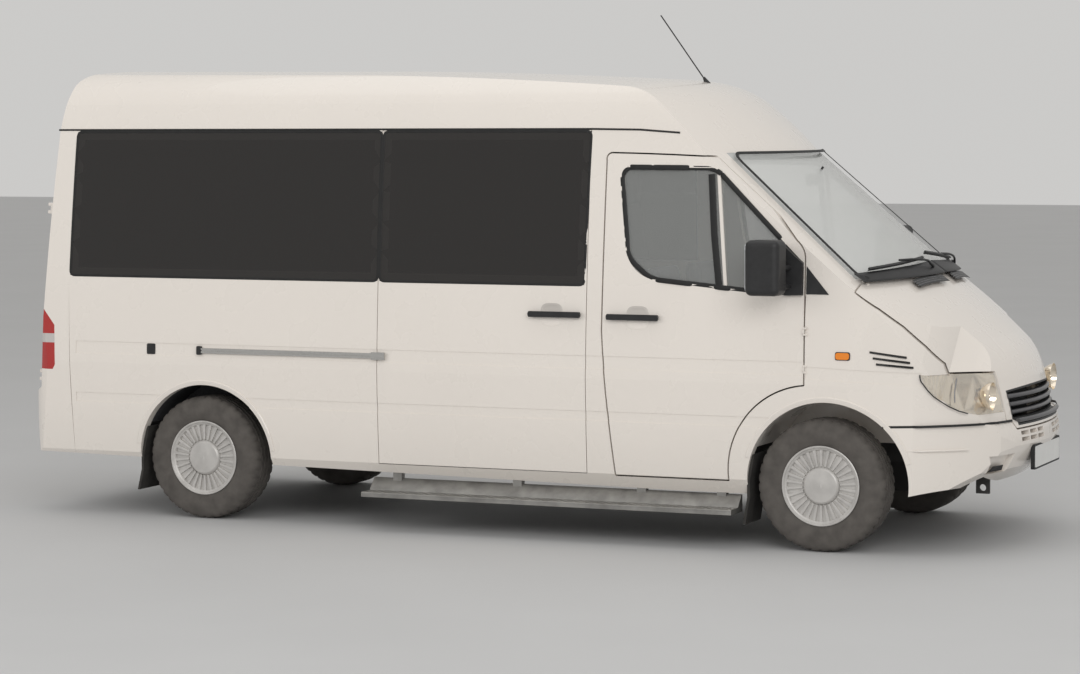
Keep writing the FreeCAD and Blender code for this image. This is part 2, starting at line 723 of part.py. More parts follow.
def turned(rows_list, base=(0, 0, 0)):
    """Body turned about the Y axis from outlines of y and radius."""
    body = doc.addObject("PartDesign::Body", "body")
    for rows in rows_list:
        revolution = body.newObject("PartDesign::Revolution", "revolution")
        sketch = sketch_on(body, "YZ_Plane", rows)
        revolution.Profile = sketch
        revolution.ReferenceAxis = (sketch, ["H_Axis"])
        revolution.Angle = 360
    for axis, expression in zip("xyz", base):
        body.setExpression("Placement.Base." + axis, str(expression))
    return body


# Wheels. The outer side of each is its +Y side before it is placed.
RIM = "Dims.rim_radius"
COVER = "Dims.cover_radius"
TREAD = "Dims.tyre_radius"
HALF_TYRE = "Dims.tyre_width / 2"
TYRE_ROWS = [
    ("-88", RIM, 0),
    ("88", RIM, -1),
    (HALF_TYRE, RIM + " + 66", 3),
    (HALF_TYRE + " - 12", TREAD + " - 14", 4),
    (HALF_TYRE + " - 28", TREAD, 0),
    ("-(" + HALF_TYRE + " - 28)", TREAD, 4),
    ("-(" + HALF_TYRE + " - 12)", TREAD + " - 14", 3),
    ("-(" + HALF_TYRE + ")", RIM + " + 66", -1),
]
BARREL_ROWS = [
    ("-88", RIM + " - 8", 0),
    ("76", RIM + " - 8", 0),
    ("76", COVER + " - 26", 0),
    ("77", COVER + " - 108", 0),
    ("96", COVER + " - 124", 0),
    ("101", "0", 0),
    ("107", "0", 0),
    ("101", COVER + " - 120", 3),
    ("82", COVER + " - 106", 0),
    ("82", COVER + " - 24", 3),
    ("97", COVER + " - 14", 2),
    ("93", COVER, 0),
    ("88", RIM, 0),
    ("-88", RIM, 0),
]
DISC_ROWS = [
    ("5", "25.05", 0),
    ("65", "25.05", 0),
    ("65", "0", 0),
    ("102", "0", 0),
    ("98", "60", 0),
    ("40", "62", 0),
    ("30", RIM + " - 8", 0),
    ("22", RIM + " - 8", 0),
    ("28", "62", 0),
    ("5", "60", 0),
]
RIB_ROWS = [
    ("80", COVER + " - 107", 0),
    ("80", COVER + " - 23", 0),
    ("92", COVER + " - 19", 0),
    ("92", COVER + " - 104", 0),
]
tyre = turned([TYRE_ROWS])
wheel = turned([BARREL_ROWS, DISC_ROWS])
rib = wheel.newObject("PartDesign::Revolution", "rib")
rib_sketch = sketch_on(wheel, "YZ_Plane", RIB_ROWS)
rib.Profile = rib_sketch
rib.ReferenceAxis = (rib_sketch, ["H_Axis"])
rib.Angle = 5
rib.Midplane = True
doc.recompute()
ribs = wheel.newObject("PartDesign::PolarPattern", "ribs")
ribs.Originals = [rib]
ribs.Axis = (origin_item(wheel, "Y_Axis"), [""])
ribs.Angle = 360
ribs.setExpression("Occurrences", "Dims.cover_ribs")
wheel.Tip = ribs
doc.recompute()
WHEEL_PLACES = [
    ("front_left", AXLE_F, 1),
    ("front_right", AXLE_F, -1),
    ("rear_left", AXLE_R, 1),
    ("rear_right", AXLE_R, -1),
]
for name, axle, side in WHEEL_PLACES:
    for kind, source in (("tyre", tyre), ("wheel", wheel)):
        item = feature(f"{kind}_{name}", source.Shape.copy())
        if side < 0:
            item.Placement.Rotation = Rotation(Vector(0, 0, 1), 180)
        item.setExpression("Placement.Base.x", axle)
        item.setExpression("Placement.Base.y", f"{side} * Dims.half_track")
        item.setExpression("Placement.Base.z", "Dims.tyre_radius")

# Chassis frame: two rails and cross members under the floor
inside = helper(within(block(TAIL, NOSE, -1000, 1000, 100, 1600), WALL))
rails = [box("-(Dims.overall_length / 2)", "Dims.overall_length",
             f"{side} * Dims.rail_spacing - Dims.rail_width / 2",
             "Dims.rail_width", RAIL_TOP + " - Dims.rail_depth", "Dims.rail_depth") for _, side in SIDES]
members = [box(f"{AXLE_F} + {place}", 80, "-Dims.rail_spacing", "2 * Dims.rail_spacing",
               RAIL_TOP + " - 30", 30)
           for place in (-3650, -2700, -1900, -900)]
members.append(box(f"{AXLE_F} + 705", 60, "-Dims.rail_spacing", "2 * Dims.rail_spacing",
                   RAIL_TOP + " - 90", 60))
members.append(box(f"{AXLE_R} - 965", 60, "-860", "1720", RAIL_TOP + " - 90", 60))
trimmed_frame = shared(fused(rails + members), inside)
tow_plates = []
for eye_x in ("Dims.overall_length / 2 - 245", "-Dims.overall_length / 2 + 135"):
    plate = box(eye_x + " - 35", 70, "-Dims.rail_spacing - 10", 20, RAIL_TOP + " - 248", 150)
    eye = rod(18, 40, (eye_x, "-Dims.rail_spacing - 20", RAIL_TOP + " - 218"), ALONG_Y)
    tow_plates.append(less(plate, eye))
keep("chassis_frame", fused([trimmed_frame] + tow_plates))

# Front axle: cross member, lower and upper arms with an eye at the kingpin
KINGPIN_Y = "Dims.half_track - 20"
LOW_EYE = "Dims.tyre_radius - 157"
HIGH_EYE = "Dims.tyre_radius + 135"


def arm(z_from, root_y, root_half):
    rows = [
        (f"{AXLE_F} - {root_half}", root_y, 0),
        (f"{AXLE_F} + {root_half}", root_y, 0),
        (f"{AXLE_F} + 14", KINGPIN_Y + " - 90", 0),
        (f"{AXLE_F} + 14", KINGPIN_Y, 0),
        (f"{AXLE_F} - 14", KINGPIN_Y, 0),
        (f"{AXLE_F} - 14", KINGPIN_Y + " - 90", 0),
    ]
    plate = padded("XY_Plane", rows, 22, (0, 0, z_from))
    eye = rod(20, 22, (AXLE_F, KINGPIN_Y, z_from))
    return less(fused([plate, eye]), rod(10.05, 40, (AXLE_F, KINGPIN_Y, z_from + " - 5")))


lower = arm(LOW_EYE, "290", 120)
upper = arm(HIGH_EYE, "Dims.rail_spacing + Dims.rail_width / 2", 80)
bracket = box(AXLE_F + " - 120", 240, 290, 40, LOW_EYE, "Dims.floor_height - 130 - (Dims.tyre_radius - 157)")
tower = box(AXLE_F + " - 80", 160, "Dims.rail_spacing + Dims.rail_width / 2", 30,
            "Dims.floor_height - 130", 100)
half_front = fused([lower, bracket])
half_tower = fused([upper, tower])
beam = box(AXLE_F + " - 70", 140, -420, 840, "Dims.floor_height - 180", 50)
keep("front_suspension", fused([beam, half_front, reflected(half_front), half_tower, reflected(half_tower)]))

# Steering knuckles: an upright with a pin at each end and a spindle for the wheel
knuckle = fused([
    rod(22, "Dims.kingpin_length - 1", (AXLE_F, KINGPIN_Y, LOW_EYE + " + 22.5")),
    rod(10, "Dims.kingpin_length + 44", (AXLE_F, KINGPIN_Y, LOW_EYE)),
    rod(25, "75", (AXLE_F, KINGPIN_Y, "Dims.tyre_radius"), ALONG_Y),
    box(AXLE_F + " - 150", 150, KINGPIN_Y + " - 22", 22, "Dims.tyre_radius - 60", 22),
])
keep("knuckle_left", knuckle)
keep("knuckle_right", reflected(knuckle))

# Rear axle with its differential, drums and springs
half_axle = fused([
    rod("Dims.axle_tube_radius", "Dims.half_track - 60", (AXLE_R, 0, "Dims.tyre_radius"), ALONG_Y),
    rod(25, "Dims.half_track + 60", (AXLE_R, 0, "Dims.tyre_radius"), ALONG_Y),
    rod(150, 50, (AXLE_R, "Dims.half_track - 85", "Dims.tyre_radius"), ALONG_Y),
    rod(130, 70, (AXLE_R, 0, "Dims.tyre_radius"), ALONG_Y),
    box(AXLE_R + " - 50", 100, 525, 70, "Dims.tyre_radius - 47", 47),
])
pinion = rod(60, 190, (AXLE_R, 0, "Dims.tyre_radius"), ALONG_X)
rear_axle = keep("rear_axle", fused([half_axle, reflected(half_axle), pinion]))
SPRING_ROWS = [
    (f"{AXLE_R} - 700", "400", 140),
    (f"{AXLE_R} + 600", "400", 0),
    (f"{AXLE_R} + 600", "430", -140),
    (f"{AXLE_R} - 700", "430", 0),
]
leaf = padded("XZ_Plane", SPRING_ROWS, 70, (0, 595, 0))
hangers = [box(f"{AXLE_R} + {place}", 60, "Dims.rail_spacing + Dims.rail_width / 2",
               "595 - Dims.rail_spacing - 30",
               "400", RAIL_TOP + " - 400") for place in (-745, 585)]
half_springs = fused([leaf] + hangers)
keep("leaf_springs", less(group([half_springs, reflected(half_springs)]), rear_axle))

# Engine and gearbox, drive shaft, tank, exhaust and spare wheel
engine = keep("engine_block", fused([
    box(AXLE_F + " + 175", 520, -280, 560, RAIL_TOP + " - 100", 500),
    box(AXLE_F + " - 455", 640, -150, 300, RAIL_TOP + " - 100", 95),
]))

shaft_run = dim("wheelbase") - 455 - 190
shaft_drop = value(RAIL_TOP) - 55 - dim("tyre_radius")
shaft_turn = 90 + math.degrees(math.atan2(shaft_drop, shaft_run))
shaft = rod(35, math.hypot(shaft_run, shaft_drop), (AXLE_F + " - 455", 0, RAIL_TOP + " - 55"),
            (0, -1, 0, shaft_turn))
keep("drive_shaft", less(less(shaft, engine), rear_axle))
RAIL_SIDE = "Dims.rail_spacing + Dims.rail_width / 2"
tank = box(AXLE_F + " - 2150", 800, RAIL_SIDE, 380, RAIL_TOP + " - 215", 190)
doc.recompute()
tank_body = doc.addObject("Part::Fillet", "fillet")
tank_body.Base = tank
tank_body.Edges = [(index, 35, 35) for index in range(1, 13)]
straps = [box(f"{AXLE_F} - {place}", 40, RAIL_SIDE, 380, RAIL_TOP + " - 25", 25) for place in (1990, 1550)]
keep("fuel_tank", fused([tank_body] + straps))

# Exhaust: x from the front axle, y, z of the corners of its route
PIPE_ROUTE = [(-76, 200, 400), (-520, 200, 372), (-2860, 200, 372), (-2860, 800, 372)]


def pipe(points, radius, bend):
    """Round tube along straight runs joined by tangent arcs."""
    corners = [Vector(FRONT_AXLE + x, y, z) for x, y, z in points]
    edges = []
    start = corners[0]
    for before, corner, after in zip(corners, corners[1:], corners[2:]):
        back = (before - corner).normalize()
        ahead = (after - corner).normalize()
        half_turn = (math.pi - back.getAngle(ahead)) / 2
        reach = bend * math.tan(half_turn)
        inward = (back + ahead).normalize()
        centre = corner + inward * (bend / math.cos(half_turn))
        edges.append(Part.makeLine(start, corner + back * reach))
        arc = Part.Arc(corner + back * reach, centre - inward * bend, corner + ahead * reach)
        edges.append(arc.toShape())
        start = corner + ahead * reach
    edges.append(Part.makeLine(start, corners[-1]))
    ring = Part.Wire(Part.makeCircle(radius, corners[0], corners[1] - corners[0]))
    return Part.Wire(edges).makePipeShell([ring], True, False)


exhaust_pipe = pipe(PIPE_ROUTE, 28, 110)
silencer = Part.makeCylinder(95, 620, Vector(FRONT_AXLE - 2600, 200, 372), Vector(1, 0, 0))
silencer_hanger = block(FRONT_AXLE - 2680, FRONT_AXLE - 2655, 190, 210, 372, value(RAIL_TOP) - 30)
feature("exhaust", exhaust_pipe.fuse([silencer, silencer_hanger]))

# Spare wheel, flat between the rails
SPARE_X = AXLE_R + " - 555"
spare_tyre = turned([TYRE_ROWS])
spare_tyre.Placement.Rotation = Rotation(Vector(1, 0, 0), 90)
for axis, expression in zip("xyz", (SPARE_X, 0, RAIL_TOP + " - 135")):
    spare_tyre.setExpression("Placement.Base." + axis, str(expression))
spare_disc = rod(RIM, 20, (SPARE_X, 0, RAIL_TOP + " - 160"))
carrier = rod(30, 160, (SPARE_X, 0, RAIL_TOP + " - 160"))
keep("spare_wheel", fused([spare_tyre, spare_disc, carrier]))

# Floor with the rear wheel housings; cab bulkhead with the front ones, the cowl and the hinge pillars
FLOOR_TOP = dim("floor_height")
FLOOR_BOTTOM = FLOOR_TOP - dim("floor_thickness")


def housing(x, z, radius, y_from, y_to, side):
    """Arched wheel housing, closed on its inner side, above the floor, and the full drum it fills."""
    axis = Vector(0, side, 0)
    full = Part.makeCylinder(radius + 20, y_to - y_from, Vector(x, side * y_from, z), axis)
    hollow = Part.makeCylinder(radius + 5, y_to - y_from, Vector(x, side * (y_from + 15), z), axis)
    above = block(x - 600, x + 600, -1100, 1100, FLOOR_BOTTOM, 1200)
    return full.cut(hollow).common(above), full


floor = within(block(TAIL, FRONT_AXLE + 160, -1000, 1000, FLOOR_BOTTOM, FLOOR_TOP), WALL).cut(door_openings)
bulkhead = within(block(FRONT_AXLE + 135, FRONT_AXLE + 160, -880, 880, FLOOR_TOP, 1400), WALL)
rear_drums = []
for _, side in SIDES:
    arch, drum = housing(REAR_AXLE + 27, 335, dim("rear_arch_radius"), 625, 905, side)
    rear_drums.append(drum)
    floor = floor.cut(drum).fuse(arch)
    arch, drum = housing(FRONT_AXLE + 38, 345, dim("front_arch_radius"), 450, 903, side)
    floor = floor.cut(drum)
    pillar = block(FRONT_AXLE - 140, FRONT_AXLE - 75, side * 845, side * 880, 800, 1290)
    web = block(FRONT_AXLE - 100, FRONT_AXLE + 160, side * 845, side * 855, 800, 1290)
    bulkhead = bulkhead.fuse([pillar, web]).cut(drum).fuse(arch)
step_well = block(FRONT_AXLE - 2400, FRONT_AXLE - 1320, -905, -640, 395, FLOOR_TOP)
step_hollow = block(FRONT_AXLE - 2380, FRONT_AXLE - 1340, -1000, -660, 415, FLOOR_TOP + 10)
floor = floor.fuse(step_well).cut([step_hollow, nodes["sliding_door"].Shape]).common(inside.Shape)
feature("floor_pan", largest(floor))
cowl_zone = block(FRONT_AXLE - 50, FRONT_AXLE + 400, -850, 850, 1200, 1402)
cowl = layer(cowl_zone, 0, WALL).cut([bonnet_opening, windscreen_zone, fender_zone,
                                      fender_zone.mirror(*MIRROR_PLANE),
                                     outer_half(1), outer_half(-1)] + both_sides(leaf_notch).Solids)
bulkhead = bulkhead.common(inside.Shape).fuse(cowl)
feature("cab_bulkhead", bulkhead.fuse(both_sides(bonnet_hinge[0]).Solids))

# Running board on the side of the sliding door
BOARD_IN = "-(Dims.half_width - 20)"
BOARD_OUT = "-(Dims.half_width - 16 + Dims.step_width)"
BOARD_ROWS = [
    (BOARD_OUT, "Dims.step_height - 26", 0),
    (BOARD_IN + " + 70", "Dims.step_height - 26", 0),
    (BOARD_IN + " + 70", "Dims.step_height + 62", 0),
    (BOARD_IN + " + 58", "Dims.step_height + 62", 0),
    (BOARD_IN, "Dims.step_height", 0),
    (BOARD_OUT + " + 8", "Dims.step_height", 4),
    (BOARD_OUT, "Dims.step_height - 8", 0),
]
board = padded("YZ_Plane", BOARD_ROWS, 2088, (AXLE_F + " - 2518", 0, 0))
body_form = helper(within(block(FRONT_AXLE - 2600, FRONT_AXLE - 400, -1000, -800, 100, 600), 0))
brackets = [less(box(f"{AXLE_F} - {place}", 50, -900, 40, "Dims.step_height - 26", 120), body_form)
            for place in (2400, 1700, 1000, 560)]
keep("running_board", fused([board] + brackets))

# Mud flaps hang behind the wheels: x from the wheel's axle and z of four points down each one
FLAPS = [
    (FRONT_AXLE, (-362, 485), (-386, 345), (-386, 262), (-410, 123)),
    (REAR_AXLE, (-349, 500), (-385, 335), (-385, 262), (-412, 145)),
]
flaps = []
for axle, *points in FLAPS:
    front = [(axle - FRONT_AXLE + x + 14, z, 0) for x, z in reversed(points)]
    back = [(axle - FRONT_AXLE + x, z, 0) for x, z in points]
    behind = within(block(axle - 480, axle - 330, 600, 1000, 240, 600), 0).cut(arches)
    flaps.append(across(front + back, 690, 930).cut(behind))
feature("mud_flaps", both_sides(Part.makeCompound(flaps)))

# Sliding door rail with its end stop and roller bracket, and the handle of the sliding door
SIDE_FACE = -(HALF_WIDTH - 3)
rail_bar = block(FRONT_AXLE - 3534, FRONT_AXLE - 2468, SIDE_FACE + 8, SIDE_FACE - 12, 918, 946)
rail_bar = rail_bar.cut(FORMS[GROOVE][1])
groove = block(FRONT_AXLE - 3534, FRONT_AXLE - 2500, SIDE_FACE - 8, SIDE_FACE - 12, 928, 936)
bracket_plate = block(FRONT_AXLE - 2490, FRONT_AXLE - 2410, SIDE_FACE - 12, SIDE_FACE - 16, 912, 952)
bracket_foot = block(FRONT_AXLE - 2452, FRONT_AXLE - 2414, SIDE_FACE + 8, SIDE_FACE - 12, 916, 948)
bracket_foot = bracket_foot.cut(FORMS[GROOVE][1])
feature("door_rail", rail_bar.cut(groove).fuse([bracket_plate, bracket_foot]))


def grip(x_from, x_to, z):
    """Pull handle on the left side: a bar on two feet."""
    bar_zone = across([(x_from, z - 15, 0), (x_to, z - 15, 5), (x_to, z + 15, 0), (x_from, z + 15, 5)],
                      900, 1000)
    y = HALF_WIDTH - 14
    bar_body = bar_zone.common(block(FRONT_AXLE + x_from - 20, FRONT_AXLE + x_to + 20,
                                     y + 10, y + 26, z - 20, z + 20))
    feet = [block(FRONT_AXLE + x, FRONT_AXLE + x + 40, y - 30, y + 12, z - 12, z + 12).cut(FORMS[0][1])
            for x in (x_from + 5, x_to - 45)]
    return bar_body.fuse(feet)


feature("sliding_door_handle", grip(-1575, -1292, 1176).mirror(*MIRROR_PLANE))

# Mirror and handle of each front door
head = across([(-311, 1306, 0), (-132, 1306, 0), (-132, 1583, 0), (-311, 1583, 0)], 1052, 1205)
head = head.makeFillet(32, head.Edges)
mirror_foot = across([(-180, 1298, 0), (-86, 1302, 0), (-86, 1464, 0), (-184, 1550, 0)], 880, 1000)
mirror_foot = mirror_foot.cut(FORMS[0][1])
mirror_foot = mirror_foot.common(
    across([(-400, 1200, 0), (0, 1200, 0), (0, 1600, 0), (-400, 1600, 0)], 900, 960))
mirror_arms = [Part.makeCylinder(13, 150, Vector(FRONT_AXLE - 155, 925, z), Vector(0, 1, 0)).cut(FORMS[0][1])
               for z in (1345, 1440)]
mirror = mirror_foot.fuse(mirror_arms + [head])
pair("door_fittings", Part.makeCompound([mirror, grip(-1136, -860, 1170)]))

# Antenna: a foot on the roof and a rod leaning back
antenna_foot = primitive("Cone", {"Radius1": 22, "Radius2": 6, "Height": 60},
                         (AXLE_F + " - 931", 0, "Dims.roof_height - 112"), (0, 1, 0, -30))
antenna_rod = rod(3.5, 440, (AXLE_F + " - 950", 0, "Dims.roof_height - 80"), (0, 1, 0, -36))
roof_top = helper(within(block(FRONT_AXLE - 1100, FRONT_AXLE - 800, -60, 60, 2300, 2500), 0))
keep("antenna", less(fused([antenna_foot, antenna_rod]), roof_top))

# Dashboard and steering wheel
DASH_ROWS = [
    (AXLE_F + " - 330", 930, 0),
    (AXLE_F + " - 200", 850, 0),
    (AXLE_F + " + 135", 850, 0),
    (AXLE_F + " + 135", 1270, 0),
    (AXLE_F + " - 130", 1265, 30),
    (AXLE_F + " - 330", 1130, 10),
]
dash = padded("XZ_Plane", DASH_ROWS, 1660, (0, 830, 0))
keep("dashboard", dash)
WHEEL_LEAN = (0, 1, 0, -62)
STEER_X = AXLE_F + " - 470"
STEER_RING = primitive("Torus", {"Radius1": "Dims.steering_wheel_radius", "Radius2": 15},
                       (STEER_X, 400, 1150), WHEEL_LEAN)
hub = rod(45, 40, (STEER_X + " + 20", 400, 1139), WHEEL_LEAN)
column = rod(30, 260, (STEER_X + " + 10", 400, 1145), (0, 1, 0, 118))
spokes = [rod(11, "Dims.steering_wheel_radius - 4", (STEER_X, 400, 1150), turn)
          for turn in ((1, 0, 0, 90), (1, 0, 0, -90), (0, 1, 0, 208))]
keep("steering_wheel", less(fused([STEER_RING, hub, column] + spokes), dash))

# Seats. Columns: x of the seat's middle from the front axle, y of its middle, width, height of its base
SEATS = [
    ("cab_seats", -880, 415, 450, 190),
    ("cab_seats", -880, -390, 860, 190),
]
for row, sides in enumerate(((645, 215), (645, 215, -645), (645, 215, -645))):
    for y in sides:
        SEATS.append(("cabin_seats", -1800 - row * dim("seat_pitch"), y, 420, 330))
for y in (660, 220, -220, -660):
    SEATS.append(("cabin_seats", -1800 - 3 * dim("seat_pitch"), y, 420, 330))
CUSHION = dim("cushion_thickness")
soft = {"cab_seats": [], "cabin_seats": []}
frames = []
for name, x, y, width, base in SEATS:
    middle = FRONT_AXLE + x
    low = FLOOR_TOP + base
    cushion = block(middle - 230, middle + 250, y - width / 2, y + width / 2, low, low + CUSHION)
    lean = [(x - 215, low + CUSHION + 0.3, 0), (x - 130, low + CUSHION + 0.3, 0), (x - 230, low + 680, 0),
            (x - 290, low + 680, 0)]
    back = across(lean, y - width / 2, y + width / 2)
    soft[name] += [cushion.makeFillet(28, cushion.Edges), back.makeFillet(20, back.Edges)]
    frames.append(block(middle - 180, middle + 180, y - width / 2 + 60, y + width / 2 - 60, FLOOR_TOP, low))
feature("cab_seats", Part.makeCompound(soft["cab_seats"]))
feature("cabin_seats", Part.makeCompound(soft["cabin_seats"]))
feature("seat_bases", Part.makeCompound([frame.cut(rear_drums) for frame in frames]))

# Check every piece, then write one file for each
doc.recompute()
for item in doc.Objects:
    if "Invalid" in item.State or "Error" in item.State:
        raise ValueError(f"{item.Label} failed")
for name, item in nodes.items():
    shape = item.Shape
    if shape.isNull() or not shape.isValid():
        raise ValueError(f"{name} has no valid shape")
    shape.exportStep(f"parts/{name}.step")
    print(name, len(shape.Solids), round(shape.Volume / 1e6, 2))
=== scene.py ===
import math
import random

import bmesh
import bpy
from mathutils import Matrix, Vector
from mathutils.bvhtree import BVHTree


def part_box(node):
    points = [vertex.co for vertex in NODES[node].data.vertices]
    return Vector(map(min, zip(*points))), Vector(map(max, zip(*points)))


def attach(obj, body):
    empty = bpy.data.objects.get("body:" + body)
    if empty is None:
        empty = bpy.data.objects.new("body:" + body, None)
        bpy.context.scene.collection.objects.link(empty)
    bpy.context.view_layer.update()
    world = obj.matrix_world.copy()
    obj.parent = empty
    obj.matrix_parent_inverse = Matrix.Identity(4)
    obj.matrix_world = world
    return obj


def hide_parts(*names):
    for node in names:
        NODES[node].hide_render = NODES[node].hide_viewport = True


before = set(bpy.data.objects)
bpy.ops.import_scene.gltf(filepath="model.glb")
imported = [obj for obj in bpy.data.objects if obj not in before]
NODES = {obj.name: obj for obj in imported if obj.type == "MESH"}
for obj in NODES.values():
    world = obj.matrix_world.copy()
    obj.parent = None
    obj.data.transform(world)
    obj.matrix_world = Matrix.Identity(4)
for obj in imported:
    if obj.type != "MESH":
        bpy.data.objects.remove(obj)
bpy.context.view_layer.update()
random.seed(7)

# Places shared with the CAD model, in metres
FRONT_AXLE = 1.855
REAR_AXLE = -1.695
TRACK = 0.815
HUB = 0.337
SIDES = (("left", 1), ("right", -1))
WHEELS = [("front_left", FRONT_AXLE, 1), ("front_right", FRONT_AXLE, -1),
          ("rear_left", REAR_AXLE, 1), ("rear_right", REAR_AXLE, -1)]


# Materials
def material(name, colour, roughness, metallic=0.0, coat=0.0, sheen=0.0, transmission=0.0, alpha=1.0):
    mat = bpy.data.materials.new(name)
    mat.use_nodes = True
    shader = mat.node_tree.nodes["Principled BSDF"]
    shader.inputs["Base Color"].default_value = (*colour, 1)
    shader.inputs["Roughness"].default_value = roughness
    shader.inputs["Metallic"].default_value = metallic
    shader.inputs["Coat Weight"].default_value = coat
    shader.inputs["Coat Roughness"].default_value = 0.04
    shader.inputs["Sheen Weight"].default_value = sheen
    shader.inputs["Transmission Weight"].default_value = transmission
    shader.inputs["Alpha"].default_value = alpha
    return mat


def tools(mat):
    tree = mat.node_tree
    return tree.nodes, tree.links, tree.nodes["Principled BSDF"]


def coordinates(mat, stretch=(1, 1, 1)):
    """Object coordinates scaled for a texture."""
    nodes, links, _ = tools(mat)
    source = nodes.new("ShaderNodeTexCoord")
    mapping = nodes.new("ShaderNodeMapping")
    mapping.inputs["Scale"].default_value = stretch
    links.new(source.outputs["Object"], mapping.inputs["Vector"])
    return mapping.outputs["Vector"]


def noise(mat, scale, detail=3, stretch=(1, 1, 1)):
    nodes, links, _ = tools(mat)
    texture = nodes.new("ShaderNodeTexNoise")
    texture.inputs["Scale"].default_value = scale
    texture.inputs["Detail"].default_value = detail
    links.new(coordinates(mat, stretch), texture.inputs["Vector"])
    return texture.outputs["Fac"]


def ramp(mat, source, stops):
    nodes, links, _ = tools(mat)
    node = nodes.new("ShaderNodeValToRGB")
    elements = node.color_ramp.elements
    while len(elements) < len(stops):
        elements.new(0.5)
    for element, (place, colour) in zip(elements, stops):
        element.position = place
        element.color = (*colour, 1) if len(colour) == 3 else colour
    links.new(source, node.inputs["Fac"])
    return node.outputs["Color"]


def spread(mat, source, low, high, to_low, to_high):
    """Maps a value to a range and holds it there."""
    nodes, links, _ = tools(mat)
    node = nodes.new("ShaderNodeMapRange")
    for socket, number in (("From Min", low), ("From Max", high), ("To Min", to_low), ("To Max", to_high)):
        node.inputs[socket].default_value = number
    links.new(source, node.inputs["Value"])
    return node.outputs["Result"]


def colour_from(mat, source):
    _, links, shader = tools(mat)
    links.new(source, shader.inputs["Base Color"])


def roughness_from(mat, source):
    _, links, shader = tools(mat)
    links.new(source, shader.inputs["Roughness"])


def bump_from(mat, source, strength, distance=0.001):
    nodes, links, shader = tools(mat)
    node = nodes.new("ShaderNodeBump")
    node.inputs["Strength"].default_value = strength
    node.inputs["Distance"].default_value = distance
    links.new(source, node.inputs["Height"])
    links.new(node.outputs["Normal"], shader.inputs["Normal"])


def tinted(colour, factor):
    return tuple(channel * factor for channel in colour)


def mottled(mat, colour, scale, amount, bump=0.0, bump_scale=None, distance=0.0004):
    """Uneven colour, with a fine grain in the surface."""
    colour_from(mat, ramp(mat, noise(mat, scale), [(0.3, tinted(colour, 1 - amount)), (0.7, colour)]))
    if bump:
        bump_from(mat, noise(mat, bump_scale or scale * 8), bump, distance)
    return mat


def height_of(mat):
    nodes, links, _ = tools(mat)
    split = nodes.new("ShaderNodeSeparateXYZ")
    links.new(coordinates(mat), split.inputs["Vector"])
    return split.outputs


def mixed(mat, factor, first, second):
    nodes, links, _ = tools(mat)
    node = nodes.new("ShaderNodeMix")
    node.data_type = "RGBA"
    links.new(factor, node.inputs["Factor"])
    for socket, source in ((node.inputs[6], first), (node.inputs[7], second)):
        if isinstance(source, tuple):
            socket.default_value = (*source, 1)
        else:
            links.new(source, socket)
    return node.outputs[2]


PAINT = (0.82, 0.765, 0.705)
# Painted shade: the paint is mixed towards a greyer colour low on the body, darker towards the bottom below 0.62 m
LOW_PAINTED_SHADE = (0.52, 0.50, 0.46)
paint = material("warm_white_paint", PAINT, 0.28, coat=0.6)
paint_tone = ramp(paint, noise(paint, 1.3, 2), [(0.35, tinted(PAINT, 0.985)), (0.65, PAINT)])
low_shade_mask = spread(paint, height_of(paint)["Z"], 0.22, 0.62, 0.22, 0.0)
colour_from(paint, mixed(paint, low_shade_mask, paint_tone, LOW_PAINTED_SHADE))
roughness_from(paint, spread(paint, noise(paint, 5, 4), 0.3, 0.7, 0.24, 0.33))
bump_from(paint, noise(paint, 900, 2), 0.03, 0.0002)

plastic = mottled(material("black_plastic", (0.02, 0.02, 0.021), 0.5), (0.022, 0.022, 0.023), 30, 0.3, 0.35, 700)
rubber = mottled(material("seal_rubber", (0.012, 0.012, 0.012), 0.6), (0.014, 0.014, 0.014), 25, 0.3, 0.2, 400)
gloss_black = material("gloss_black", (0.01, 0.01, 0.01), 0.18)
roughness_from(gloss_black, spread(gloss_black, noise(gloss_black, 12), 0.3, 0.7, 0.14, 0.24))
tyre_rubber = mottled(material("tyre_rubber", (0.09, 0.082, 0.074), 0.85), (0.115, 0.104, 0.094), 14, 0.35, 0.4, 260)
flap_rubber = mottled(material("flap_rubber", (0.025, 0.024, 0.022), 0.8), (0.045, 0.042, 0.038), 18, 0.45, 0.5, 120,
                      0.0015)
COVER = (0.62, 0.60, 0.575)
cover_silver = mottled(material("cover_silver", COVER, 0.42, metallic=0.35), COVER, 16, 0.18, 0.12, 300)
chassis = mottled(material("chassis_paint", (0.03, 0.03, 0.031), 0.6), (0.04, 0.038, 0.036), 9, 0.4, 0.4, 90, 0.001)
cast = mottled(material("cast_metal", (0.12, 0.12, 0.12), 0.55, metallic=0.7), (0.15, 0.15, 0.15), 14, 0.3, 0.5, 150)
exhaust_metal = mottled(material("exhaust_metal", (0.2, 0.18, 0.16), 0.5, metallic=0.8), (0.25, 0.22, 0.19), 10, 0.4,
                        0.3, 120)
STEEL = (0.62, 0.61, 0.59)
steel = material("brushed_steel", STEEL, 0.26, metallic=1.0)
colour_from(steel, ramp(steel, noise(steel, 60, 3, (0.05, 1, 1)), [(0.3, tinted(STEEL, 0.85)), (0.7, STEEL)]))
bump_from(steel, noise(steel, 500, 2, (0.02, 1, 1)), 0.15, 0.0002)
ALUMINIUM = (0.42, 0.41, 0.39)
tread_plate = mottled(material("tread_plate", ALUMINIUM, 0.42, metallic=0.85), ALUMINIUM, 12, 0.35, 0.3, 200)
floor_cover = mottled(material("floor_cover", (0.06, 0.06, 0.065), 0.7), (0.075, 0.075, 0.08), 60, 0.4, 0.3, 600)
dash_plastic = mottled(material("dash_plastic", (0.05, 0.05, 0.054), 0.62), (0.06, 0.06, 0.064), 40, 0.25, 0.5, 900)
trim_grey = mottled(material("trim_grey", (0.22, 0.22, 0.225), 0.6), (0.26, 0.26, 0.265), 30, 0.2, 0.3, 700)
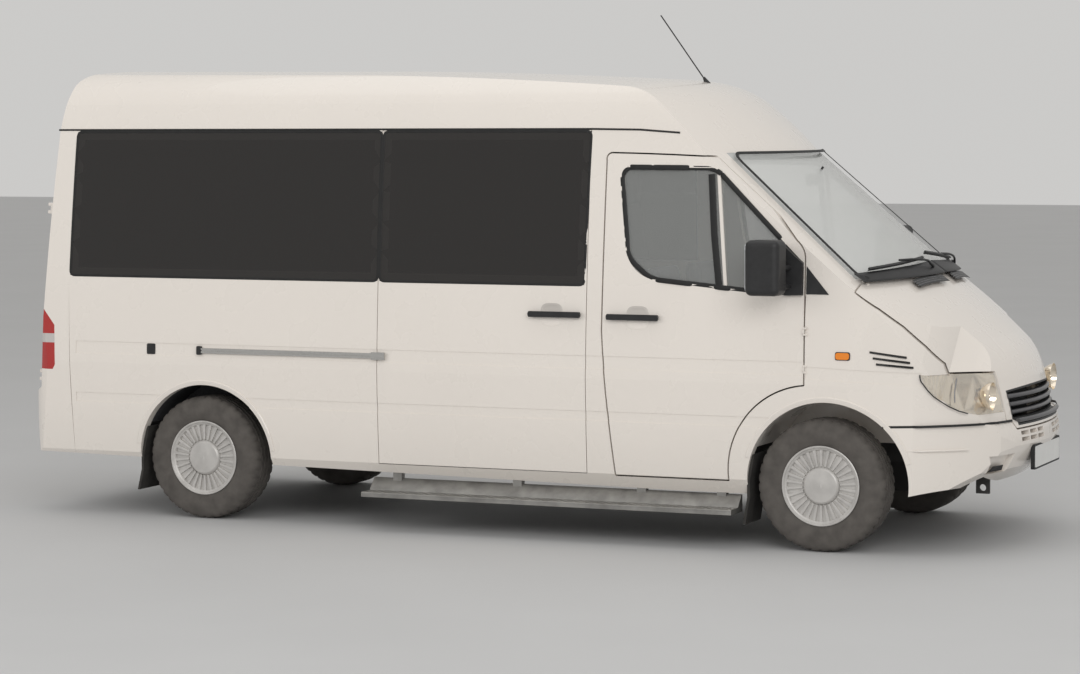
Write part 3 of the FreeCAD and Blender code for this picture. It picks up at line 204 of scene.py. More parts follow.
amber = material("amber_lens", (0.85, 0.24, 0.01), 0.15, coat=0.6)
roughness_from(amber, spread(amber, noise(amber, 60), 0.3, 0.7, 0.1, 0.2))
bump_from(amber, noise(amber, 350, 1, (1, 0.2, 1)), 0.3, 0.0006)
reflector = material("lamp_reflector", (0.92, 0.82, 0.68), 0.14, metallic=1.0)
bump_from(reflector, noise(reflector, 70, 1, (1, 3, 1)), 0.4, 0.002)
bulb_glass = material("bulb_glass", (0.95, 0.93, 0.85), 0.05, transmission=0.6)
bump_from(bulb_glass, noise(bulb_glass, 40), 0.1)
red_lens = material("red_lens", (0.45, 0.012, 0.01), 0.14, coat=0.7)
bump_from(red_lens, noise(red_lens, 260, 0, (1, 0.3, 1)), 0.35, 0.0008)
plate_white = mottled(material("plate_white", (0.75, 0.75, 0.73), 0.35), (0.77, 0.77, 0.75), 10, 0.06, 0.1, 300)
mirror_glass = material("mirror_glass", (0.8, 0.82, 0.84), 0.03, metallic=1.0)
roughness_from(mirror_glass, spread(mirror_glass, noise(mirror_glass, 8), 0.3, 0.7, 0.02, 0.06))

# Tail lamp: red, with a clear band and moulded ribs
tail = material("tail_lens", (0.5, 0.02, 0.015), 0.12, coat=0.8)
tail_colours = [(0.0, (0.42, 0.012, 0.01)), (0.42, (0.55, 0.52, 0.50)), (0.56, (0.42, 0.012, 0.01)),
                (0.60, (0.42, 0.012, 0.01))]
band = ramp(tail, spread(tail, height_of(tail)["Z"], 0.80, 1.16, 0, 1), tail_colours)
band.node.color_ramp.interpolation = "CONSTANT"
colour_from(tail, band)
bump_from(tail, noise(tail, 120, 0, (0.2, 0.2, 6)), 0.5, 0.001)


def glass(name, tint, roughness, clear):
    """Window glass: a thin clear sheet that also reflects."""
    mat = bpy.data.materials.new(name)
    mat.use_nodes = True
    nodes, links, shader = tools(mat)
    shader.inputs["Base Color"].default_value = (*tint, 1)
    shader.inputs["Roughness"].default_value = roughness
    shader.inputs["IOR"].default_value = 1.5
    shader.inputs["Alpha"].default_value = 1 - clear
    shader.inputs["Specular IOR Level"].default_value = 0.7
    bump_from(mat, noise(mat, 2.5, 1), 0.03, 0.004)
    return mat


clear_glass = glass("clear_glass", (0.42, 0.43, 0.42), 0.03, 0.66)
screen_glass = glass("screen_glass", (0.80, 0.81, 0.79), 0.03, 0.40)
tinted_glass = glass("tinted_glass", (0.008, 0.006, 0.005), 0.04, 0.08)
lamp_glass = glass("lamp_glass", (0.80, 0.80, 0.78), 0.05, 0.80)

FABRIC = (0.10, 0.11, 0.135)
fabric = material("seat_fabric", FABRIC, 0.9, sheen=0.3)
weave_nodes, weave_links, _ = tools(fabric)
weave = weave_nodes.new("ShaderNodeTexChecker")
weave.inputs["Scale"].default_value = 420
weave_links.new(coordinates(fabric), weave.inputs["Vector"])
colour_from(fabric, mixed(fabric, noise(fabric, 160, 4), tinted(FABRIC, 0.55), tinted(FABRIC, 1.5)))
bump_from(fabric, weave.outputs["Fac"], 0.3, 0.0006)

grille_grey = mottled(material("grille_grey", (0.07, 0.07, 0.075), 0.32), (0.085, 0.085, 0.09), 20, 0.2, 0.1, 300)
# Paint of the hand scoops with painted shade: darker towards the top under the upper edge, and a little lighter at the
# bottom as painted light
scoop_paint_with_painted_shade = material("scoop_paint_with_painted_shade", PAINT, 0.3, coat=0.6)
colour_from(scoop_paint_with_painted_shade, ramp(scoop_paint_with_painted_shade, spread(scoop_paint_with_painted_shade, height_of(scoop_paint_with_painted_shade)["Z"], 1.115, 1.225, 0, 1),
                              [(0.0, tinted(PAINT, 1.05)), (0.45, tinted(PAINT, 0.95)), (1.0, tinted(PAINT, 0.62))]))

NODE_MATERIALS = {
    paint: ["side_wall_left", "side_wall_right", "sliding_door", "roof", "cab_bulkhead", "fender_left", "fender_right",
            "bonnet", "front_bumper", "rear_bumper", "rear_frame", "front_door_left", "front_door_right",
            "rear_door_left", "rear_door_right"],
    clear_glass: ["door_glass_left", "door_glass_right"],
    screen_glass: ["windscreen"],
    tinted_glass: ["side_windows", "rear_glass_left", "rear_glass_right"],
    lamp_glass: ["headlamp_lenses"],
    reflector: ["headlamps"],
    tail: ["tail_lamps"],
    chassis: ["chassis_frame", "front_suspension", "knuckle_left", "knuckle_right", "rear_axle", "leaf_springs",
              "drive_shaft"],
    cast: ["engine_block"],
    exhaust_metal: ["exhaust"],
    plastic: ["grille", "fuel_tank", "sliding_door_handle", "door_fittings_left", "door_fittings_right", "antenna",
              "steering_wheel"],
    tyre_rubber: ["spare_wheel"],
    cover_silver: ["wheel_front_left", "wheel_front_right", "wheel_rear_left", "wheel_rear_right"],
    tread_plate: ["running_board"],
    flap_rubber: ["mud_flaps"],
    steel: ["door_rail"],
    dash_plastic: ["dashboard"],
    floor_cover: ["floor_pan"],
    trim_grey: ["seat_bases"],
}
for mat, names in NODE_MATERIALS.items():
    for name in names:
        for slot in NODES[name].material_slots:
            slot.material = mat


# Mesh helpers
SHARP_ANGLE = math.radians(38)


def placed(name, mesh):
    """Object for a mesh, linked to the scene."""
    piece = bpy.data.objects.new(name, mesh)
    bpy.context.scene.collection.objects.link(piece)
    return piece


def mesh_from(name, data):
    """Mesh from an edit mesh, which is freed."""
    mesh = bpy.data.meshes.new(name)
    data.to_mesh(mesh)
    data.free()
    return mesh


def add_mesh(name, vertices, faces, mat, smooth=True):
    mesh = bpy.data.meshes.new(name)
    mesh.from_pydata([tuple(v) for v in vertices], [], faces)
    mesh.validate()
    mesh.materials.append(mat)
    if smooth:
        mesh.shade_smooth()
        mesh.set_sharp_from_angle(angle=SHARP_ANGLE)
    return placed(name, mesh)


def mount(piece, body):
    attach(piece, body)
    return piece


def bevelled(piece, width, segments=2):
    modifier = piece.modifiers.new("edges", "BEVEL")
    modifier.width = width
    modifier.segments = segments
    modifier.limit_method = "ANGLE"
    modifier.angle_limit = math.radians(40)
    return piece


def slab(name, low, high, mat, bevel=0.003):
    """Block with rounded edges between two corners."""
    (x0, y0, z0), (x1, y1, z1) = low, high
    corners = [(x, y, z) for x in (x0, x1) for y in (y0, y1) for z in (z0, z1)]
    faces = [(0, 1, 3, 2), (4, 6, 7, 5), (0, 4, 5, 1), (2, 3, 7, 6), (0, 2, 6, 4), (1, 5, 7, 3)]
    return bevelled(add_mesh(name, corners, faces, mat), bevel)


def frames_along(points, up):
    """Tangent, side and up directions at each point of a path."""
    result = []
    for index, point in enumerate(points):
        before = points[max(index - 1, 0)]
        after = points[min(index + 1, len(points) - 1)]
        tangent = (after - before).normalized()
        top = up[index] if isinstance(up, list) else up
        side = tangent.cross(top).normalized()
        result.append((point, tangent, side, side.cross(tangent).normalized()))
    return result


def swept(name, points, up, profile, mat, closed=False):
    """Profile of (side, up) pairs swept along a path; open paths get end caps."""
    points = [Vector(p) for p in points]
    if closed:
        points = points + [points[0]]
        up = up + [up[0]] if isinstance(up, list) else up
    rows = frames_along(points, up)
    if closed:
        first, last = rows[0], rows[-1]
        side = (first[2] + last[2]).normalized()
        top = (first[3] + last[3]).normalized()
        rows[0] = rows[-1] = (first[0], first[1], side, top)
    vertices = [p + s * a + t * b for p, _, s, t in rows for a, b in profile]
    count = len(profile)
    faces = []
    for row in range(len(rows) - 1):
        for i in range(count):
            j = (i + 1) % count
            faces.append((row * count + i, row * count + j, (row + 1) * count + j, (row + 1) * count + i))
    if not closed:
        faces.append(tuple(range(count))[::-1])
        faces.append(tuple((len(rows) - 1) * count + i for i in range(count)))
    return add_mesh(name, vertices, faces, mat)


def strip_profile(width, height, sink=0.002):
    half, edge = width / 2, min(width / 4, height)
    return [(-half, -sink), (half, -sink), (half, height - edge * 0.6), (half - edge, height), (-half + edge, height),
            (-half, height - edge * 0.6)]


def round_profile(radius, count=10):
    return [(radius * math.cos(2 * math.pi * i / count), radius * math.sin(2 * math.pi * i / count))
            for i in range(count)]


def tube(name, points, radius, mat, up=Vector((0, 0, 1)), count=10):
    return swept(name, points, up, round_profile(radius, count), mat)


def turned(name, profile, centre, axis, mat, count=48):
    """Surface of revolution from (distance along axis, radius) pairs."""
    axis = Vector(axis).normalized()
    helper = Vector((0, 0, 1)) if abs(axis.z) < 0.9 else Vector((1, 0, 0))
    u = axis.cross(helper).normalized()
    v = axis.cross(u)
    vertices = []
    for i in range(count):
        angle = 2 * math.pi * i / count
        out = u * math.cos(angle) + v * math.sin(angle)
        vertices += [Vector(centre) + axis * a + out * r for a, r in profile]
    rows = len(profile)
    faces = [(i * rows + k, i * rows + k + 1, ((i + 1) % count) * rows + k + 1, ((i + 1) % count) * rows + k)
             for i in range(count) for k in range(rows - 1)]
    return add_mesh(name, vertices, faces, mat)


def joined(name, pieces):
    """One piece from several meshes of one material set."""
    data = bmesh.new()
    graph = bpy.context.evaluated_depsgraph_get()
    materials = []
    for piece in pieces:
        part = piece.evaluated_get(graph).to_mesh()
        part.transform(piece.matrix_world)
        offset = len(data.faces)
        data.from_mesh(part)
        data.faces.ensure_lookup_table()
        mat = piece.data.materials[0]
        if mat not in materials:
            materials.append(mat)
        for face in data.faces[offset:]:
            face.material_index = materials.index(mat)
        piece.evaluated_get(graph).to_mesh_clear()
    mesh = mesh_from(name, data)
    for mat in materials:
        mesh.materials.append(mat)
    mesh.set_sharp_from_angle(angle=SHARP_ANGLE)
    for piece in pieces:
        bpy.data.objects.remove(piece)
    return placed(name, mesh)


# The outer skin, to lay trims on
SKIN = ["side_wall_left", "side_wall_right", "sliding_door", "roof", "fender_left", "fender_right", "bonnet",
        "front_bumper", "rear_bumper", "rear_frame", "front_door_left", "front_door_right", "rear_door_left",
        "rear_door_right", "windscreen", "side_windows", "door_glass_left", "door_glass_right", "rear_glass_left",
        "rear_glass_right", "headlamp_lenses", "tail_lamps", "grille", "cab_bulkhead"]
skin_mesh = bmesh.new()
for name in SKIN:
    skin_mesh.from_mesh(NODES[name].data)
skin_tree = BVHTree.FromBMesh(skin_mesh)
skin_mesh.free()
NUDGES = (0, 0.014, -0.014, 0.03, -0.03)


def hit(start, direction, across):
    """Point of the skin and its outward normal; looks beside a panel gap if it meets one."""
    direction = Vector(direction)
    found = []
    for nudge in NUDGES:
        place, normal, _, _ = skin_tree.ray_cast(Vector(start) + Vector(across) * nudge, direction)
        if place:
            found.append((-(place.dot(direction)), place - Vector(across) * nudge, normal))
    best = max(found, key=lambda row: row[0])
    first = found[0]
    chosen = first if best[0] - first[0] < 0.012 else best
    normal = chosen[2]
    if normal.dot(direction) > 0:
        normal = -normal
    return chosen[1], normal


def on_side(x, z, side):
    return hit((x, side * 1.4, z), (0, -side, 0), (1, 0, 0))


def on_front(y, z):
    return hit((3.4, y, z), (-1, 0, 0), (0, 0, 1))


def on_rear(y, z):
    return hit((-3.4, y, z), (1, 0, 0), (0, 1, 0))


def on_top(x, y):
    return hit((x, y, 3.2), (0, 0, -1), (1, 0, 0))


def divided(rows, step=0.03, closed=False):
    """Points along straight runs, no further apart than the step."""
    rows = list(rows) + ([rows[0]] if closed else [])
    points = []
    for (a, b), (c, d) in zip(rows, rows[1:]):
        count = max(1, math.ceil(math.hypot(c - a, d - b) / step))
        points += [(a + (c - a) * i / count, b + (d - b) * i / count) for i in range(count)]
    return points if closed else points + [rows[-1]]


def rounded(rows, radius, closed=True, steps=5):
    """Outline with its corners rounded."""
    result = []
    count = len(rows)
    for i, corner in enumerate(rows):
        if not closed and i in (0, count - 1):
            result.append(corner)
            continue
        here = Vector(corner)
        back = Vector(rows[i - 1]) - here
        ahead = Vector(rows[(i + 1) % count]) - here
        reach = min(radius, back.length / 2.2, ahead.length / 2.2)
        start, end = here + back.normalized() * reach, here + ahead.normalized() * reach
        for k in range(steps + 1):
            t = k / steps
            result.append(tuple(start * (1 - t) ** 2 + here * 2 * t * (1 - t) + end * t ** 2))
    return result


def laid(name, finder, rows, width, height, mat, closed=False, lift=0.0, step=0.03):
    """Strip laid on the skin along an outline."""
    found = [finder(*row) for row in divided(rows, step, closed)]
    points = [p + n * lift for p, n in found]
    return swept(name, points, [n for _, n in found], strip_profile(width, height), mat, closed)


def patch(name, finder, rows, height, mat, sink=0.002, step=0.02):
    """Thin plate that covers an outline on the skin."""
    found = [finder(*row) for row in divided(rows, step, True)]
    tops = [p + n * height for p, n in found]
    lows = [p - n * sink for p, n in found]
    count = len(tops)
    data = bmesh.new()
    upper = [data.verts.new(p) for p in tops]
    lower = [data.verts.new(p) for p in lows]
    for i in range(count):
        j = (i + 1) % count
        data.faces.new((lower[i], lower[j], upper[j], upper[i]))
    data.faces.new(upper)
    data.faces.new(lower[::-1])
    bmesh.ops.triangulate(data, faces=[face for face in data.faces if len(face.verts) > 4])
    bmesh.ops.recalc_face_normals(data, faces=data.faces)
    mesh = mesh_from(name, data)
    mesh.materials.append(mat)
    return placed(name, mesh)


def side_finder(side):
    return lambda x, z: on_side(x, z, side)


def front_finder(side):
    return lambda y, z: on_front(side * y, z)


def rear_finder(side):
    return lambda y, z: on_rear(side * y, z)


# Camera: the photograph's view
CAMERA = Vector((6.545, -15.455, 2.184))
YAW, PITCH, ROLL = math.radians(23.1787), math.radians(-4.0917), math.radians(-0.1936)
forward = Vector((-math.sin(YAW) * math.cos(PITCH), math.cos(YAW) * math.cos(PITCH), math.sin(PITCH)))
level = Vector((math.cos(YAW), math.sin(YAW), 0))
upward = level.cross(forward)
right = level * math.cos(ROLL) + upward * math.sin(ROLL)
upward = upward * math.cos(ROLL) - level * math.sin(ROLL)
camera_data = bpy.data.cameras.new("camera")
camera_data.sensor_width = 36
camera_data.lens = 101.2
camera_data.clip_end = 200
camera = bpy.data.objects.new("camera", camera_data)
camera.matrix_world = Matrix((right, upward, -forward)).transposed().to_4x4()
camera.location = CAMERA
bpy.context.scene.collection.objects.link(camera)
bpy.context.scene.camera = camera

def quilt(name, finder, corners, counts, height, mat, thickness=0.002):
    """Sheet laid on the skin over the area between four corners, given as (u, v) pairs."""
    across_count, along_count = counts
    (a, b, c, d) = [Vector(corner) for corner in corners]
    vertices = []
    for i in range(along_count + 1):
        t = i / along_count
        for k in range(across_count + 1):
            s = k / across_count
            spot = (a * (1 - s) + b * s) * (1 - t) + (d * (1 - s) + c * s) * t
            place, normal = finder(spot.x, spot.y)
            vertices.append(place + normal * height)
    row = across_count + 1
    faces = [(i * row + k, i * row + k + 1, (i + 1) * row + k + 1, (i + 1) * row + k)
             for i in range(along_count) for k in range(across_count)]
    piece = add_mesh(name, vertices, faces, mat)
    solid = piece.modifiers.new("thick", "SOLIDIFY")
    solid.thickness = thickness
    solid.offset = 0
    return piece


# Seals round the glass, and the roof gutter
DOOR_GLASS = [(0.945, 1.368), (1.670, 1.299), (1.666, 1.561), (1.306, 1.917), (1.252, 1.937), (0.803, 1.940),
              (0.771, 1.899), (0.820, 1.474)]
GLASS_DIVIDER = [(1.318, 1.335), (1.286, 1.60), (1.262, 1.905)]
PANES = {"rear": [(-2.517, 1.330), (-0.611, 1.330), (-0.611, 2.125), (-2.497, 2.125)],
         "front": [(-0.599, 1.330), (0.580, 1.330), (0.595, 2.125), (-0.599, 2.125)]}
REAR_GLASS = [(0.095, 1.330), (0.690, 1.330), (0.700, 1.345), (0.655, 1.985), (0.635, 2.000), (0.095, 2.000)]
SCREEN = [(-0.840, 1.381), (-0.45, 1.396), (0, 1.402), (0.45, 1.396), (0.840, 1.381),
          (0.742, 2.012), (-0.742, 2.012)]
GUTTER = [(-2.62, 2.136), (0.60, 2.136), (0.863, 2.132), (1.083, 2.116)]
for name, side in SIDES:
    find = side_finder(side)
    mount(laid("gutter_" + name, find, GUTTER, 0.010, 0.003, rubber), "body")
    for pane, rows in PANES.items():
        seal = laid(f"pane_seal_{pane}_{name}", find, rounded(rows, 0.03), 0.014, 0.0015, rubber, closed=True)
        mount(seal, "body")
    outer = laid("outer", find, rounded(DOOR_GLASS, 0.05), 0.026, 0.004, rubber, closed=True, lift=0.003)
    divider = laid("divider", find, GLASS_DIVIDER, 0.034, 0.003, rubber, lift=0.003)
    mount(joined("door_glass_seal_" + name, [outer, divider]), "front_door_" + name)
    seal = laid("rear_glass_seal_" + name, rear_finder(side), rounded(REAR_GLASS, 0.05), 0.016, 0.003, rubber,
                closed=True)
    mount(seal, "rear_door_" + name)
screen_seal = laid("windscreen_seal", on_front, rounded(SCREEN, 0.05), 0.018, 0.002, rubber, closed=True, step=0.02)
mount(screen_seal, "body")

# Dark cowl between the bonnet and the windscreen, with an inlet grille on each side of the bonnet
for name, side in SIDES:
    sheet = quilt("cowl_cover_" + name, front_finder(side),
                  [(0.002, 1.380), (0.86, 1.366), (0.86, 1.408), (0.002, 1.440)], (20, 4), 0.002, plastic)
    mount(sheet, "body")


for name, side in SIDES:
    corners = [(2.242, side * 0.08), (2.200, side * 0.475), (2.244, side * 0.475), (2.286, side * 0.08)]
    parts = [quilt("base", on_top, corners, (14, 3), 0.002, plastic)]
    for k in range(3):
        shift = 0.011 + 0.011 * k
        line = [(2.242 + shift - 0.042 * i / 10, side * (0.08 + 0.395 * i / 10)) for i in range(11)]
        parts.append(laid("rib", on_top, line, 0.004, 0.003, trim_grey))
    mount(joined("bonnet_inlet_" + name, parts), "bonnet")


def on_screen(y, z, lift):
    place, normal = on_front(y, z)
    return place + normal * lift


BLADE = [(-0.003, 0), (0.003, 0), (0.003, 0.008), (0.008, 0.010), (0.006, 0.018), (-0.006, 0.018),
         (-0.008, 0.010), (-0.003, 0.008)]


def wiper(name, pivot, tip, blade_from, blade_to):
    """Arm from its pivot to the middle of a blade that lies on the glass."""
    steps = [tuple(a + (b - a) * i / 8 for a, b in zip(pivot, tip)) for i in range(9)]
    lifts = [0.014, 0.026, 0.032, 0.034, 0.034, 0.032, 0.028, 0.022, 0.016]
    arm_points = [on_screen(*spot, lift) for spot, lift in zip(steps, lifts)]
    arm = tube("arm", arm_points, 0.006, plastic, count=8)
    rows = [tuple(a + (b - a) * i / 14 for a, b in zip(blade_from, blade_to)) for i in range(15)]
    blade = swept("blade", [on_screen(*row, 0.002) for row in rows], [on_front(*row)[1] for row in rows],
                  BLADE, plastic)
    knob = turned("knob", [(0, 0.001), (0, 0.017), (0.016, 0.015), (0.022, 0.009), (0.022, 0.001)],
                  on_screen(*pivot, -0.004), on_front(*pivot)[1], plastic, 16)
    mount(joined(name, [arm, blade, knob]), "body")


wiper("wiper_left", (0.60, 1.402), (0.30, 1.452), (0.56, 1.422), (0.00, 1.474))
wiper("wiper_right", (-0.08, 1.414), (-0.42, 1.448), (-0.12, 1.452), (-0.74, 1.418))

# Grille: fat rounded slats, with a dark sheet behind as painted shade
GRILLE_ROWS = [0.656, 0.696, 0.736, 0.776]
BAR_WIDTH, BAR_HEIGHT, BAR_SINK = 0.012, 0.0125, 0.003
turns = [math.pi * 2 * k / 12 for k in range(12)]
bar_profile = [(BAR_WIDTH * math.cos(a), BAR_HEIGHT * math.sin(a) - BAR_SINK) for a in turns]
bars = []
for index, z in enumerate(GRILLE_ROWS):
    half = 0.408 + 0.006 * index
    places = [on_front(-half + 2 * half * i / 24, z)[0] for i in range(25)]
    bars.append(swept("bar", places, Vector((1, 0, 0)), bar_profile, grille_grey))
mount(joined("grille_slats", bars), "bonnet")


def backing(name, body, half_width, low, high, depth, drop):
    """Dark upright sheet behind an opening of the front, painted shade standing in for the shaded space behind it."""
    columns = [(-1 + 2 * k / 10) * half_width for k in range(11)]
    front = on_front(0.04, high + 0.05)[0].x
    vertices = [Vector((front - depth - drop * (y / half_width) ** 2, y, z)) for z in (low, high) for y in columns]
    faces = [(k, k + 1, 12 + k, 11 + k) for k in range(10)]
    piece = add_mesh(name, vertices, faces, rubber)
    piece.modifiers.new("thick", "SOLIDIFY").thickness = 0.004
    mount(piece, body)


# Dark sheets behind the grille and the bumper slots, as painted shade
backing("grille_painted_shade", "bonnet", 0.43, 0.632, 0.812, 0.075, 0.10)
backing("vent_painted_shade", "body", 0.41, 0.542, 0.606, 0.085, 0.10)


def plate(name, finder, middle, width, height, body, lift):
    """Blank number plate in a thin dark frame."""
    centre, normal = finder(*middle)
    outward = Vector((1 if normal.x > 0 else -1, 0, 0))
    base = centre + outward * lift
    pieces = []
    for part, grow, low, high, mat in (("frame", 0.007, -0.012, 0.008, rubber),
                                       ("face", -0.003, 0, 0.010, plate_white)):
        half_w, half_h = width / 2 + grow, height / 2 + grow
        ring = rounded([(-half_w, -half_h), (half_w, -half_h), (half_w, half_h), (-half_w, half_h)], 0.012)
        vertices = [base + outward * depth + Vector((0, u, v)) for depth in (low, high) for u, v in ring]
        count = len(ring)
        faces = [(i, (i + 1) % count, count + (i + 1) % count, count + i) for i in range(count)]
        faces += [tuple(range(count))[::-1], tuple(range(count, 2 * count))]
        pieces.append(add_mesh(part, vertices, faces, mat, smooth=False))
    mount(joined(name, pieces), body)


plate("front_plate", on_front, (0, 0.454), 0.52, 0.115, "body", 0.0)

# Dark sheet in the lower mouth of each fog lamp recess, as painted shade
for name, side in SIDES:
    mouth = quilt("fog_recess_painted_shade_" + name, front_finder(side),
                  [(0.475, 0.408), (0.615, 0.408), (0.585, 0.436), (0.490, 0.436)], (6, 2), 0.002, rubber)
    mount(mouth, "body")

# Black lines: a painted shadow along the gap between the bumper and the fenders, and dark lines round the lamps
BUMPER_TOP = [(2.183, 0.6495), (2.475, 0.6565), (2.645, 0.660)]
BUMPER_FRONT = [(0.70, 0.6595), (0.60, 0.660), (0.50, 0.660), (0.475, 0.660)]
LAMP_EDGE = [(2.361, 0.912), (2.370, 0.880), (2.400, 0.837), (2.427, 0.805), (2.465, 0.775), (2.497, 0.752),
             (2.535, 0.731), (2.575, 0.716)]
for name, side in SIDES:
    find = side_finder(side)
    line = laid("line", find, BUMPER_TOP, 0.012, 0.0015, rubber)
    front_line = laid("front_line", front_finder(side), BUMPER_FRONT, 0.012, 0.0015, rubber)
    mount(joined("bumper_gap_painted_shadow_" + name, [line, front_line]), "body")
    line = laid("lamp_edge_" + name, find, LAMP_EDGE, 0.006, 0.001, rubber)
    mount(line, "body")

# Raised lips round the wheel arches: place, middle x and z, radius, first and last angle
LIPS = [("front", FRONT_AXLE + 0.038, 0.345, 0.434, 16, 163), ("rear", REAR_AXLE + 0.027, 0.335, 0.422, 8, 172)]
LIP = [(-0.014, -0.004), (0.013, -0.004), (0.013, 0.003), (0.009, 0.006), (0.002, 0.005), (-0.014, 0.0004)]
for name, side in SIDES:
    find = side_finder(side)
    for place, x, z, radius, start, end in LIPS:
        turns = [math.radians(a) for a in range(start, end + 1, 3)]
        found = [find(x + radius * math.cos(turn), z + radius * math.sin(turn)) for turn in turns]
        lip = swept(f"arch_lip_{place}_{name}", [p for p, _ in found], [n for _, n in found], LIP, paint)
        mount(lip, "body")

# Amber side marker on each fender, and dark sheets in the slots behind it as painted shade
MARKER = [(1.943, 0.979), (2.022, 0.979), (2.022, 1.021), (1.943, 1.021)]
MARKER_LENS = [(1.947, 0.983), (2.018, 0.983), (2.018, 1.017), (1.947, 1.017)]
VENTS = [(2.120, 2.301, 1.018, 0.993), (2.136, 2.317, 0.988, 0.967), (2.152, 2.333, 0.958, 0.943)]
for name, side in SIDES:
    find = side_finder(side)
    base = patch("base", find, rounded(MARKER, 0.012), 0.003, plastic)
    lens = patch("lens", find, rounded(MARKER_LENS, 0.014), 0.009, amber)
    mount(joined("side_marker_" + name, [base, lens]), "body")
    backs = []
    for x0, x1, z0, z1 in VENTS:
        corners = [(x0 + 0.001, z0 + 0.001), (x1 - 0.001, z1 + 0.001),
                   (x1 - 0.001, z1 + 0.010), (x0 + 0.001, z0 + 0.010)]
        backs.append(quilt("back", find, corners, (8, 1), 0.001, rubber, 0.001))
    mount(joined("slot_painted_shade_" + name, backs), "body")

# Black corner covers of the door windows and mirror glass
DOOR_CORNER = [(1.672, 1.556), (1.757, 1.474), (1.770, 1.440), (1.770, 1.300), (1.675, 1.304)]
PILLAR_CORNER = [(1.786, 1.446), (1.905, 1.306), (1.786, 1.306)]
MIRROR_GLASS = [(1.035, 1.325), (1.185, 1.325), (1.185, 1.565), (1.035, 1.565)]
MIRROR_BACK, MIRROR_FRONT = 1.5425, 1.5475
for name, side in SIDES:
    find = side_finder(side)
    cover = patch("mirror_corner_" + name, find, DOOR_CORNER, 0.004, plastic)
    mount(cover, "front_door_" + name)
    cover = patch("pillar_corner_" + name, find, PILLAR_CORNER, 0.004, plastic)
    mount(cover, "body")
    ring = rounded(MIRROR_GLASS, 0.03)
    count = len(ring)
    vertices = [(x, side * y, z) for x in (MIRROR_BACK, MIRROR_FRONT) for y, z in ring]
    faces = [tuple(range(count)), tuple(range(count, 2 * count))[::-1]]
    faces += [(i, (i + 1) % count, count + (i + 1) % count, count + i) for i in range(count)]
    glass_piece = add_mesh("mirror_glass_" + name, vertices, faces, mirror_glass, smooth=False)
    mount(glass_piece, "front_door_" + name)

# Hand scoops behind the door handles: rings of a rounded square, with a raised rim, in paint with painted shade darker
# towards the top
SCOOPS = [("front_door_left", 1, 0.880, 1.168), ("front_door_right", -1, 0.880, 1.168), ("body", -1, 0.400, 1.174)]
SCOOP_WIDTH, SCOOP_HEIGHT, SCOOP_SQUARENESS = 0.124, 0.120, 0.6
SCOOP_RINGS = [(1.0, 0.0003), (0.90, 0.0030), (0.80, 0.0020), (0.55, 0.0006), (0.0, 0.0004)]
BESIDE = 0.09
for body, side, x, z in SCOOPS:
    find = side_finder(side)
    vertices = []
    steps = 40
    for reach, height in SCOOP_RINGS:
        for k in range(steps):
            a = 2 * math.pi * k / steps
            u = math.copysign(SCOOP_WIDTH / 2 * reach * abs(math.cos(a)) ** SCOOP_SQUARENESS, math.cos(a))
            v = math.copysign(SCOOP_HEIGHT / 2 * reach * abs(math.sin(a)) ** SCOOP_SQUARENESS, math.sin(a))
            skin_y = find(x - BESIDE, z + v)[0].y
            vertices.append(Vector((x + u, skin_y + side * height, z + v)))
    faces = [(i * steps + k, i * steps + (k + 1) % steps, (i + 1) * steps + (k + 1) % steps, (i + 1) * steps + k)
             for i in range(len(SCOOP_RINGS) - 1) for k in range(steps)]
    scoop = add_mesh("scoop_" + (body if body != "body" else "sliding"), vertices, faces, scoop_paint_with_painted_shade)
    mount(scoop, body)

# Ends of the door rail, the plug behind it and the filler flap
for name, x0, x1, z0, z1, height, mat in (("rail_end", -1.700, -1.672, 0.908, 0.956, 0.016, plastic),
                                          ("rail_plug", -2.018, -1.966, 0.904, 0.962, 0.004, plastic)):
    rows = rounded([(x0, z0), (x1, z0), (x1, z1), (x0, z1)], 0.008)
    mount(patch(name, side_finder(-1), rows, height, mat), "body")
flap_rows = rounded([(-1.18, 1.02), (-0.99, 1.02), (-0.99, 1.20), (-1.18, 1.20)], 0.02)
flap = laid("filler_flap_gap", side_finder(1), flap_rows, 0.004, 0.0008, rubber, closed=True)
mount(flap, "body")

# Running board: raised lozenges on its tread, each turned against its neighbours
board_low = Vector(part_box("running_board")[0])
TREAD_TOP = NODES["running_board"].ray_cast(Vector((0.4, -0.98, 1)), Vector((0, 0, -1)))[1].z
LOZENGE = [(-0.012, 0), (0, -0.0035), (0.012, 0), (0, 0.0035)]
LOZENGE_ROWS, LOZENGE_COLUMNS = 4, 68
data = bmesh.new()
for i in range(LOZENGE_COLUMNS):
    for k in range(LOZENGE_ROWS):
        x = board_low.x + 0.03 + i * 0.0305
        y = board_low.y + 0.020 + k * 0.027
        turn = math.radians(45 if (i + k) % 2 else -45)
        top = []
        base = []
        for u, v in LOZENGE:
            offset = Vector((u * math.cos(turn) - v * math.sin(turn), u * math.sin(turn) + v * math.cos(turn), 0))
            base.append(data.verts.new(Vector((x, y, TREAD_TOP - 0.0004)) + offset))
            top.append(data.verts.new(Vector((x, y, TREAD_TOP + 0.0016)) + offset * 0.7))
        data.faces.new(top)
        for a in range(4):
            b = (a + 1) % 4
            data.faces.new((base[a], base[b], top[b], top[a]))
bmesh.ops.recalc_face_normals(data, faces=data.faces)
mesh = mesh_from("board_tread", data)
mesh.materials.append(tread_plate)
mount(placed("board_tread", mesh), "body")

# Bright rings of the wheel covers
COVER_RING = [(-0.010, 0.2035), (-0.004, 0.2045), (-0.002, 0.201), (-0.003, 0.196), (-0.010, 0.190)]
for name, axle, side in WHEELS:
    low, high = [Vector(corner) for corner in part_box("wheel_" + name)]
    centre = (axle, high.y if side > 0 else low.y, HUB)
    ring = turned("cover_ring_" + name, COVER_RING, centre, (0, side, 0), cover_silver, 72)
    mount(ring, "wheel_" + name)

